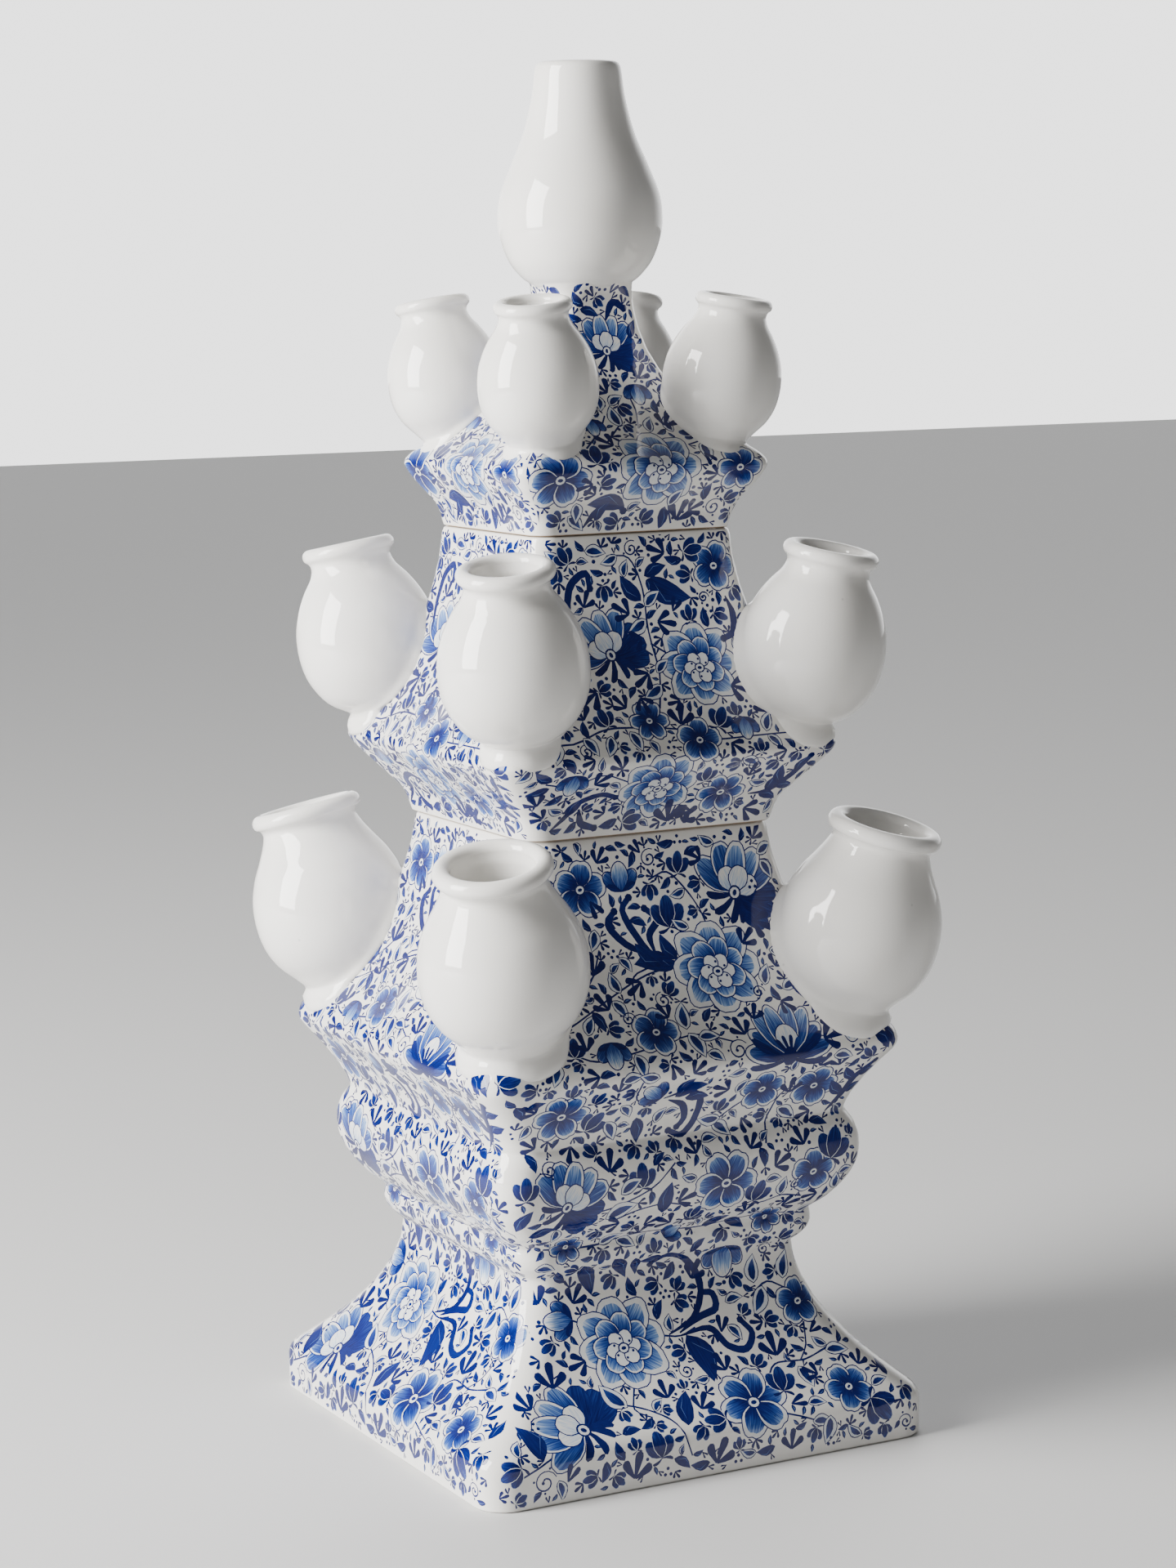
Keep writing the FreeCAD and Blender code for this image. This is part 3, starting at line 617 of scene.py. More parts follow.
lower_print = draw([
    # foot
    (stem, (-42, 26), (-28, 28), (-14, 20), (-9, 7)), (stem, (-72, 9), (-62, 13), (-50, 19)),
    (stem, (24, 25), (30, 33), (42, 33), (54, 37)), (stem, (46, 46), (44, 38), (40, 33)),
    (stem, (29, 57), (36, 61), (44, 57)), (stem, (20, 17), (30, 14), (40, 10)),
    (stem, (-22, 34), (-25, 26), (-20, 22)), (stem, (-40, 60), (-34, 57), (-30, 54)),
    (stem, (53, 22), (60, 17), (64, 12)), (stem, (-6, 49), (0, 48), (6, 50)),
    (scroll, (-4, 49), (7, 54), (11, 64), (6, 73), (-2, 77), (-7, 73)),
    (scroll, (0, 49), (8, 53), (15, 55), (15, 60), (11, 61)),
    (scroll, (0, 48), (11, 49), (16, 42), (22, 40), (26, 45), (23, 50)),
    (leaf, 2, 48, -76, 18, "dark", 0.12), (leaf, -4, 77, 190, 8, "dark"), (sprig, 8, 66, 60, 7),
    (sprig, 15, 47, 70, 6, 2), (peony, -21.5, 48.5, 15.5, 8), (bloom, -45, 22, 15, 150),
    (rose, 17, 21, 11.5, 12, 6), (rose, 46, 53, 7.6, 18), (rose, 53, 20.5, 8.2, 40),
    (bud, 59, 15, -48, 6.2), (tulip, 20, 77, -90, 7.2), (tulip, -37, 59, 178, 6), (bud, 5, 17, 175, 4.6),
    (bud, 29, 23, 80, 5.4), (leaf, -9, 17, 72, 13, "dark"), (bud, -20, 8, 100, 5.4),
    (bud, -70, 13, 205, 4.6), (leaf, -62, 14, 112, 14, "dark", -0.12), (leaf, -27, 27, 128, 12),
    (leaf, -33, 78, -72, 13, "dark"), (leaf, -22, 79, -58, 11, "dark"), (leaf, -14, 78, -80, 8, "dark"),
    (leaf, 34, 60, -118, 11), (leaf, 31, 61, 86, 10), (leaf, 42, 61, 74, 10),
    (leaf, 38, 55, 118, 5, "dark"), (leaf, 50, 35, -8, 9), (leaf, 38, 31, -72, 9), (leaf, 36, 11, -10, 8),
    (leaf, 43, 12, -102, 10), (leaf, 69, 22, 82, 8, "dark"), (sprig, -48, 65, 118, 8),
    (sprig, -36, 64, 62, 7), (sprig, -36, 45, 196, 7), (sprig, -50, 38, 84, 9), (sprig, -60, 32, 120, 7),
    (sprig, 0, 3, 66, 9), (sprig, -30, 3, 76, 9), (sprig, 32, 36, 92, 9), (sprig, 60, 28, 60, 6),
    (sprig, 12, 34, 108, 7), (sprig, 30, 18, 10, 6, 2), (sprig, -2, 22, 60, 7), (sprig, 44, 27, 150, 6),
    (sprig, -12, 28, 96, 7), (sprig, 52, 62, 66, 6), (sprig, 31, 48, 172, 5), (sprig, 28, 3, 84, 7),
    (sprig, -54, 6, 60, 6, 2), (sprig, 47, 42, 30, 5, 2), (spiral, -62, 7, 4.2, 20),
    (spiral, 72, 5, 2.8, 160, -1), (spiral, 36, 72, 2.6, 0), (spiral, -2, 36, 2.8, 120), (dots, -53, 55),
    (dots, -18, 3), (dots, 43, 3), (dots, 57, 43), (dots, -61, 26), (dots, 8, 3), (dots, -2, 62),
    # bead and the underside of the big moulding
    (stem, (-48, 86), (-30, 85), (-12, 88), (8, 86), (30, 88), (50, 85)), (rose, -40, 86, 5.6, 10, 6),
    (rose, 34, 86, 5.6, 40, 6), (tulip, -4, 84, 40, 4.2), (leaf, -28, 85, 30, 9), (leaf, -22, 86, -24, 8),
    (leaf, 10, 86, 28, 10, "dark"), (leaf, 18, 88, -30, 9, "dark"), (leaf, 46, 86, 20, 8),
    (sprig, -52, 86, 150, 6), (sprig, -14, 88, 120, 6), (sprig, 2, 92, 60, 7), (sprig, 24, 92, 110, 6),
    (sprig, 52, 90, 40, 6), (dots, -14, 81), (dots, 26, 81),
    # big moulding
    (stem, (-36, 102), (-26, 104), (-14, 109), (-6, 116)),
    (stem, (-26, 98), (-18, 101), (-8, 102), (2, 99)), (stem, (44, 96), (36, 98), (30, 96), (20, 95)),
    (stem, (52, 104), (58, 98), (60, 94)), (bloom, -45, 106, 13, 62), (rose, 13, 106.5, 10.5, 0, 6),
    (rose, 46, 106, 7.6, 20, 5), (bud, 52, 110, 74, 6.2), (bud, 25, 97, 76, 5.2),
    (bud, -18, 109, 92, 5.0), (leaf, -9, 98, 82, 12, "dark"), (leaf, -30, 99, 24, 12),
    (leaf, -26, 108, 30, 9), (leaf, -14, 116, 40, 6, "dark"), (leaf, 35, 98, 84, 8),
    (leaf, 57, 97, 104, 8), (bud, -60, 110, 84, 4.6), (leaf, -62, 98, 60, 10, "dark"),
    (leaf, -56, 95, 20, 9, "dark"), (leaf, 2, 110, 170, 6), (bud, 3, 93, 70, 3.6),
    (sprig, -30, 116, 78, 8), (sprig, -24, 96, 190, 7), (sprig, -4, 102, 20, 7), (sprig, 31, 110, 30, 7),
    (sprig, 42, 116, 112, 7), (sprig, 61, 107, 40, 5), (sprig, 22, 117, 60, 6), (sprig, 2, 118, 110, 6),
    (sprig, -4, 92, 150, 7), (sprig, 38, 92, 20, 7), (sprig, -14, 93, 30, 6), (sprig, 50, 96, 190, 6),
    (spiral, -51, 119, 3.2, 40), (spiral, 40, 102, 2.4, 0), (dots, 33, 119), (dots, -20, 99),
    (dots, 56, 121), (dots, 17, 93),
    # underside of the shoulder
    (stem, (-22, 150), (-22, 142), (-14, 139)), (stem, (28, 118), (30, 128), (34, 137), (43, 139)),
    (stem, (10, 128), (16, 133), (22, 137)),
    (scroll, (-12, 141), (-4, 143), (2, 139), (2, 130), (-2, 125), (-7, 127)),
    (scroll, (-10, 140), (-4, 137), (-2, 131), (-4, 128)), (leaf, -8, 141, 20, 12, "dark", 0.14),
    (leaf, -4, 140, -4, 9, "dark"), (leaf, -8, 143, 46, 8, "dark"), (rose, -48, 138.5, 9.2, 0, 6),
    (rose, 25, 139, 7.6, 20), (rose, 45, 137.5, 8.0, 0), (tulip, -13, 141, 140, 5.4),
    (bud, -38, 131, 54, 5.2), (bud, -47, 147, 84, 3.2), (leaf, -31, 134, -62, 9),
    (leaf, -20, 134, -82, 10, "dark"), (leaf, 9, 128, -40, 9), (leaf, 12, 129, 176, 9),
    (leaf, 33, 130, -34, 9), (leaf, 34, 146, 84, 6), (leaf, 15, 139, 60, 7),
    (scroll, (52, 126), (57, 132), (60, 139), (66, 146)), (leaf, 57, 132, 130, 9, "dark"),
    (leaf, 60, 138, 128, 8, "dark"), (leaf, 58, 133, 20, 8, "dark"), (leaf, 61, 140, 16, 8, "dark"),
    (leaf, -66, 146, -60, 8, "dark"), (leaf, -62, 144, 20, 7, "dark"), (sprig, -58, 142, 150, 7),
    (sprig, -55, 127, 150, 6), (sprig, -42, 126, 250, 6), (sprig, 12, 141, 160, 7),
    (sprig, 36, 136, 90, 7), (sprig, 44, 147, 60, 6), (sprig, 52, 146, 110, 6),
    (sprig, 20, 128, -60, 6, 2), (sprig, -30, 147, 84, 6), (sprig, 46, 127, 200, 6), (dots, -29, 142),
    (dots, 3, 122), (dots, 8, 147), (dots, -14, 127), (dots, 39, 125), (dots, -64, 132),
    # shoulder and the foot of the slope
    (stem, (-62, 161), (-48, 163), (-38, 159), (-26, 160), (-14, 162), (0, 164), (12, 160)),
    (stem, (44, 156), (52, 158), (62, 155)), (bud, -73, 155, 12, 4.6), (tulip, -31, 165, -92, 5.6),
    (rose, -14, 166.5, 7.8, 0), (lotus, 31.5, 152.5, 15.5, 90), (tulip, 56, 165, -94, 6),
    (bud, -45, 161, 76, 4.2), (leaf, -52, 161, -104, 9), (leaf, -60, 161, 20, 8),
    (leaf, -3, 165, -68, 10), (leaf, -3, 166, 84, 10), (leaf, 0, 163, -4, 8), (leaf, -24, 160, -76, 9),
    (leaf, 64, 158, -52, 9, "dark"), (leaf, 69, 159, -70, 9, "dark"), (leaf, -38, 168, 60, 8),
    (leaf, 4, 168, 50, 6, "dark"), (sprig, -54, 159, 200, 7), (sprig, -40, 163, 100, 7),
    (sprig, 45, 157, 14, 8), (sprig, 50, 162, 120, 6), (sprig, 17, 162, 110, 7),
    (sprig, -12, 155, -60, 6, 2), (sprig, -38, 154, 190, 6), (sprig, 22, 167, 70, 6),
    (spiral, 13, 157, 3.8, 30), (spiral, -8, 177, 3.0, 90), (dots, -58, 153), (dots, 8, 151),
    (dots, -44, 153), (dots, 48, 166), (leaf, -30, 151, 10, 8), (leaf, -16, 151, 170, 8),
    (sprig, -4, 151, 40, 6), (leaf, 16, 150, 200, 7), (leaf, 48, 151, -10, 8),
    # slope
    (stem, (0, 188), (-12, 186), (-26, 180), (-40, 173), (-50, 169)),
    (stem, (-4, 217), (3, 219), (9, 213), (13, 206), (15, 199)),
    (stem, (-18, 178), (-16, 186), (-8, 189)), (stem, (-36, 182), (-30, 188), (-26, 196)),
    (scroll, (2, 189), (-7, 192), (-12, 200), (-15, 208), (-12, 212)),
    (scroll, (-7, 192), (-16, 197), (-21, 204), (-18, 208)),
    (scroll, (-6, 192), (-7, 199), (-3, 204), (-7, 208)), (leaf, 0, 188, 172, 15, "dark", -0.1),
    (leaf, -4, 189, 138, 12, "dark", 0.1), (leaf, 1, 190, 116, 10, "dark"), (peony, 14.5, 186, 15.5, 0),
    (bloom, 27, 210, 14.5, 66), (bud, 1, 201, 88, 6.2), (rose, -29, 216, 8.6, 10),
    (tulip, -14, 214, 92, 5.8), (bud, 7, 218, 84, 4.4), (leaf, 8, 200, 150, 7), (leaf, 35, 190, -24, 8),
    (leaf, 36, 176, 20, 8), (leaf, 30, 178, 68, 8), (leaf, 40, 180, -70, 9, "dark"),
    (leaf, -22, 181, 108, 8), (leaf, -26, 179, -60, 8), (leaf, -34, 176, -70, 8, "dark"),
    (leaf, 37, 222, 20, 8), (leaf, 38, 220, -60, 8), (leaf, 10, 224, 20, 6, "dark"),
    (leaf, -36, 226, 200, 7), (leaf, -26, 203, 250, 8), (rose, -44, 190, 7.4, 30),
    (tulip, -36, 182, 170, 4.6), (rose, 44, 196, 6.4, 0), (leaf, -38, 200, 130, 9),
    (bud, 46, 178, 70, 4.2), (leaf, -54, 178, 60, 8), (leaf, 40, 205, -30, 8, "dark"),
    (sprig, -30, 188, 86, 8), (sprig, -14, 184, 214, 7), (sprig, -28, 176, 120, 7),
    (sprig, 26, 193, 46, 7), (sprig, 32, 200, -24, 8), (sprig, 36, 184, 60, 6), (sprig, -22, 224, 60, 6),
    (sprig, -36, 208, 160, 6), (sprig, 16, 222, 150, 6), (sprig, -26, 212, -60, 6, 2),
    (sprig, 34, 172, -40, 6), (sprig, -8, 171, 120, 6), (sprig, -42, 176, 150, 7),
    (sprig, -58, 170, 120, 6), (sprig, 52, 172, 60, 6), (sprig, 36, 227, 60, 6),
    (sprig, -6, 226, 130, 5, 2), (spiral, -3, 224, 3.2, 60), (spiral, -22, 172, 2.6, 0),
    (spiral, 27, 176, 2.4, 0), (dots, -21, 194), (dots, 24, 170), (dots, 34, 212), (dots, -32, 203),
    (dots, 8, 229), (dots, 42, 187), (dots, -46, 180),
], lower_rows, 11)
lower = tier_mesh(
    "lower_tier_look", lower_rows,
    [(81.4, 0.2, 10.2), (80.8, 0.0, 9.8), (75.0, 0.0, 7.0), (74.2, 0.5, 6.5), (74.0, 2.0, 6.5)],
    [(44.2, 204.4, 8.6), (42.0, 204.4, 8.0), (40.8, 203.6, 8.0), (40.6, 202.5, 8.0), (40.6, 192.5, 8.0),
     (42.2, 183.0, 8.0), (48.9, 164.5, 8.0), (60.2, 145.8, 8.0), (67.7, 136.5, 8.0), (70.2, 132.0, 8.0),
     (68.2, 127.0, 8.0), (61.0, 118.0, 8.0), (58.0, 109.0, 8.0), (60.9, 92.0, 8.0), (47.8, 73.0, 8.0),
     (46.2, 63.5, 8.0), (52.1, 41.0, 8.0), (65.2, 18.3, 8.0), (73.5, 7.2, 8.0), (70.0, 7.0, 8.0)],
    lower_print, bare=(2, 3))


def nodes_for(name):
    """A new material, its shader, and two short ways to set sockets and to add a node."""
    mat = bpy.data.materials.new(name)
    mat.use_nodes = True
    tree = mat.node_tree

    def plug(node, sockets):
        """Each socket takes a value, or the output that feeds it."""
        for socket, value in sockets.items():
            if isinstance(value, bpy.types.NodeSocket):
                tree.links.new(value, node.inputs[socket])
            else:
                node.inputs[socket].default_value = value

    def add(kind, sockets, **settings):
        """A new node, with its settings made before its sockets."""
        node = tree.nodes.new("ShaderNode" + kind)
        for key, value in settings.items():
            setattr(node, key, value)
        plug(node, sockets)
        return node

    return mat, tree.nodes["Principled BSDF"], plug, add


def glaze_surface(shader, plug, add, wave=0.025):
    """Clear gloss glaze: slightly uneven, with rare pinholes and soft dimples."""
    place = add("TexCoord", {}).outputs["Object"]
    swell = add("TexNoise", {"Vector": place, "Scale": 42.0, "Detail": 2.0}).outputs["Fac"]
    peel = add("TexNoise", {"Vector": place, "Scale": 420.0, "Detail": 2.0}).outputs["Fac"]
    both = add("Math", {0: peel, 1: 0.10, 2: swell}, operation="MULTIPLY_ADD").outputs["Value"]
    pin = add("TexVoronoi", {"Vector": place, "Scale": 130.0})
    hole = add("MapRange", {"Value": pin.outputs["Distance"], "From Min": 0.03, "From Max": 0.07})
    chance = add("SeparateColor", {"Color": pin.outputs["Color"]}).outputs["Red"]
    seldom = add("Math", {0: chance, 1: 0.93}, operation="LESS_THAN").outputs["Value"]
    clear = add("Math", {0: hole.outputs["Result"], 1: seldom}, operation="MAXIMUM").outputs["Value"]
    height = add("Math", {0: clear, 1: 0.25, 2: both}, operation="MULTIPLY_ADD").outputs["Value"]
    bump = add("Bump", {"Height": height, "Strength": wave, "Distance": 0.002})
    rough = add("MapRange", {"Value": swell, "To Min": 0.02, "To Max": 0.07}).outputs["Result"]
    plug(shader, {"Normal": bump.outputs["Normal"], "IOR": 1.52})
    return swell, clear, rough


def specked(add, colour, clear, darkest):
    """The colour with its few kiln specks, where the glaze isn't clear."""
    dirt = add("MapRange", {"Value": clear, "To Min": darkest}).outputs["Result"]
    mix = add("Mix", {"Factor": 1.0, "A": colour, "B": dirt}, data_type="RGBA", blend_type="MULTIPLY")
    return mix.outputs["Result"]


# the glaze over the print: the ink attribute is painted strength, the petal UV runs along each shape
painted, shader, plug, add = nodes_for("printed_glaze")
swell, clear, rough = glaze_surface(shader, plug, add)
ink = add("Attribute", {}, attribute_name="ink")
part = add("SeparateColor", {"Color": ink.outputs["Color"]})
axis = add("SeparateXYZ", {"Vector": add("UVMap", {}, uv_map="petal").outputs["UV"]})
along = add("MapRange", {"Value": axis.outputs["X"], "From Min": 0.12, "From Max": 0.90})
strength = add("Mix", {"Factor": along.outputs["Result"], "A": part.outputs["Red"],
                       "B": part.outputs["Green"]})
wide = add("Math", {0: axis.outputs["Y"], 1: 5.5}, operation="MULTIPLY")
brush = add("CombineXYZ", {"X": axis.outputs["X"], "Y": wide.outputs["Value"]})
hair = add("TexNoise", {"Vector": brush.outputs["Vector"], "Scale": 1.7, "Detail": 3.0})
centred = add("Math", {0: hair.outputs["Fac"], 1: 0.5}, operation="SUBTRACT")
streak = add("Math", {0: centred.outputs["Value"], 1: part.outputs["Blue"]}, operation="MULTIPLY")
inked = add("Math", {0: streak.outputs["Value"], 1: 1.9, 2: strength.outputs["Result"]},
            operation="MULTIPLY_ADD")
cobalt = add("ValToRGB", {"Fac": inked.outputs["Value"]})
washes = cobalt.color_ramp.elements
washes[0].color = (0.80, 0.785, 0.75, 1)
washes[1].color = (0.0008, 0.004, 0.082, 1)
for stop, tint in ((0.10, (0.54, 0.62, 0.73, 1)), (0.28, (0.16, 0.28, 0.54, 1)),
                   (0.52, (0.022, 0.065, 0.29, 1)), (0.78, (0.003, 0.012, 0.14, 1))):
    washes.new(stop).color = tint
# the foot ring and the rim that a tier stands on are bare clay
bare_clay = (0.30, 0.22, 0.15, 1)
clay = add("Mix", {"Factor": ink.outputs["Alpha"], "A": cobalt.outputs["Color"], "B": bare_clay},
           data_type="RGBA")
bare_rough = add("Math", {0: ink.outputs["Alpha"], 1: 0.7, 2: rough}, operation="MULTIPLY_ADD")
plug(shader, {"Base Color": specked(add, clay.outputs["Result"], clear, 0.72),
              "Roughness": bare_rough.outputs["Value"]})

lower.data.materials.append(painted)
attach(lower, "lower")
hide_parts("lower_tier")


# ---- spouts --------------------------------------------------------------------------------------
# Each spout is a hollow slip-cast bulb with a rolled lip, luted by its short foot to a corner. The
# slip squeezed out of the joint is smoothed into a soft web against the tier's corner ridge.
white, shader, plug, add = nodes_for("white_glaze")
swell, clear, rough = glaze_surface(shader, plug, add, 0.018)
tone = add("ValToRGB", {"Fac": swell})
tone.color_ramp.elements[0].position = 0.3
tone.color_ramp.elements[0].color = (0.80, 0.785, 0.75, 1)
tone.color_ramp.elements[1].position = 0.7
tone.color_ramp.elements[1].color = (0.83, 0.82, 0.795, 1)
plug(shader, {"Base Color": specked(add, tone.outputs["Color"], clear, 0.78), "Roughness": rough})


def smooth_line(points, step):
    """A smooth run of (radius, height) through a few points."""
    return [(q.x, q.y) for q in curve(points, step)]


def turned(name, line, around=96, move=None):
    """A closed turned form. The line runs from the axis below, up the outside, to the axis inside."""
    verts, polys = [(0.0, 0.0, line[0][1])], []
    for r, z in line[1:-1]:
        for k in range(around):
            a = 2 * math.pi * k / around
            verts.append((r * math.cos(a), r * math.sin(a), z))
    verts.append((0.0, 0.0, line[-1][1]))
    n = len(line) - 2
    for k in range(around):
        k2 = (k + 1) % around
        polys.append((0, 1 + k2, 1 + k))
        for j in range(n - 1):
            a, b = 1 + j * around, 1 + (j + 1) * around
            polys.append((a + k, a + k2, b + k2, b + k))
        last = 1 + (n - 1) * around
        polys.append((last + k, last + k2, len(verts) - 1))
    if move:
        verts = [move(Vector(v), i) for i, v in enumerate(verts)]
    mesh = bpy.data.meshes.new(name)
    mesh.from_pydata([tuple(Vector(v) * 0.001) for v in verts], [], polys)
    mesh.polygons.foreach_set("use_smooth", [True] * len(mesh.polygons))
    mesh.update()
    obj = bpy.data.objects.new(name, mesh)
    bpy.context.collection.objects.link(obj)
    return obj


def outside_of(point, profile):
    """How far a point is outside a tier with this profile, in mm (less than 0 inside)."""
    ws = [q[0] for q in profile]
    zs = [q[1] for q in profile]
    w = float(np.interp(point.z, zs, ws))
    lean = (float(np.interp(point.z + 1, zs, ws)) - float(np.interp(point.z - 1, zs, ws))) / 2
    r = profile[-1][2]
    x, y = abs(point.x) - (w - r), abs(point.y) - (w - r)
    d = math.hypot(max(x, 0), max(y, 0)) + min(max(x, y), 0) - r
    return d / math.sqrt(1 + lean * lean)


def spout(name, body, turn, foot_at, tilt, length, belly, waist, neck, rim, lip, feed, profile, web):
    """A bulb leaning out over a corner, its foot flared on to the tier."""
    wall = 4.0
    c = (rim - lip, length - lip)
    outer = smooth_line([
        (waist, 0.03 * length), (0.70 * belly, 0.10 * length), (0.86 * belly, 0.185 * length),
        (0.965 * belly, 0.29 * length), (belly, 0.415 * length), (0.968 * belly, 0.545 * length),
        (0.872 * belly, 0.66 * length), (0.745 * belly, 0.755 * length),
        (neck + 0.045 * belly, 0.83 * length), (neck, 0.885 * length),
        (neck + 0.25 * (rim - neck), 0.915 * length),
        (c[0] + lip * 0.80, c[1] - lip * 0.60)], 0.8)
    roll = [(c[0] + lip * math.cos(a), c[1] + lip * math.sin(a)) for a in np.radians(np.arange(-25, 200, 12))]
    bore = neck - wall
    inner = smooth_line([
        (bore + 0.2, 0.92 * length), (bore, 0.86 * length), (bore, 0.78 * length),
        (0.80 * belly - wall, 0.68 * length), (0.95 * belly - wall, 0.54 * length),
        (belly - wall, 0.415 * length), (0.95 * belly - wall, 0.27 * length),
        (0.80 * belly - wall, 0.185 * length), (feed + 0.06 * belly, 0.125 * length),
        (feed, 0.09 * length), (feed, 0.02 * length)], 1.6)
    sunk = [(0, -0.09 * length), (waist - 0.5, -0.09 * length), (waist, -0.07 * length),
            (waist, -0.03 * length), (waist, 0.0)]
    line = sunk + outer + roll + inner + [(0, 0.02 * length)]
    around = 96
    skin = (len(sunk) + len(outer)) * around
    a = math.radians(turn)
    stand = (Matrix.Translation((foot_at[0] * math.cos(a), foot_at[0] * math.sin(a), foot_at[1]))
             @ Matrix.Rotation(a, 4, "Z") @ Matrix.Rotation(math.radians(tilt), 4, "Y"))

    def move(v, i):
        p = stand @ v
        if 0 < i <= skin:
            d = outside_of(p, profile)
            if d < web:
                k = (1 - max(d, 0.0) / web) ** 2 * web * 0.62
                out = (stand.to_3x3() @ Vector((v.x, v.y, 0))).normalized()
                p = p + out * k
        return p

    obj = turned(name + "_look", line, around, move)
    obj.data.materials.append(white)
    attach(obj, body)
    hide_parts(name)
    return obj


corners = {"front": -135, "right": -45, "back": 45, "left": 135}
for side, turn in corners.items():
    spout("lower_spout_" + side, "lower", turn, foot_at=(84.9, 143.9), tilt=15.2, length=63.4,
          belly=27.0, waist=15.4, neck=16.4, rim=19.0, lip=2.9, feed=7.0,
          profile=[q for q in lower_profile if q[1] > 133], web=4.5)


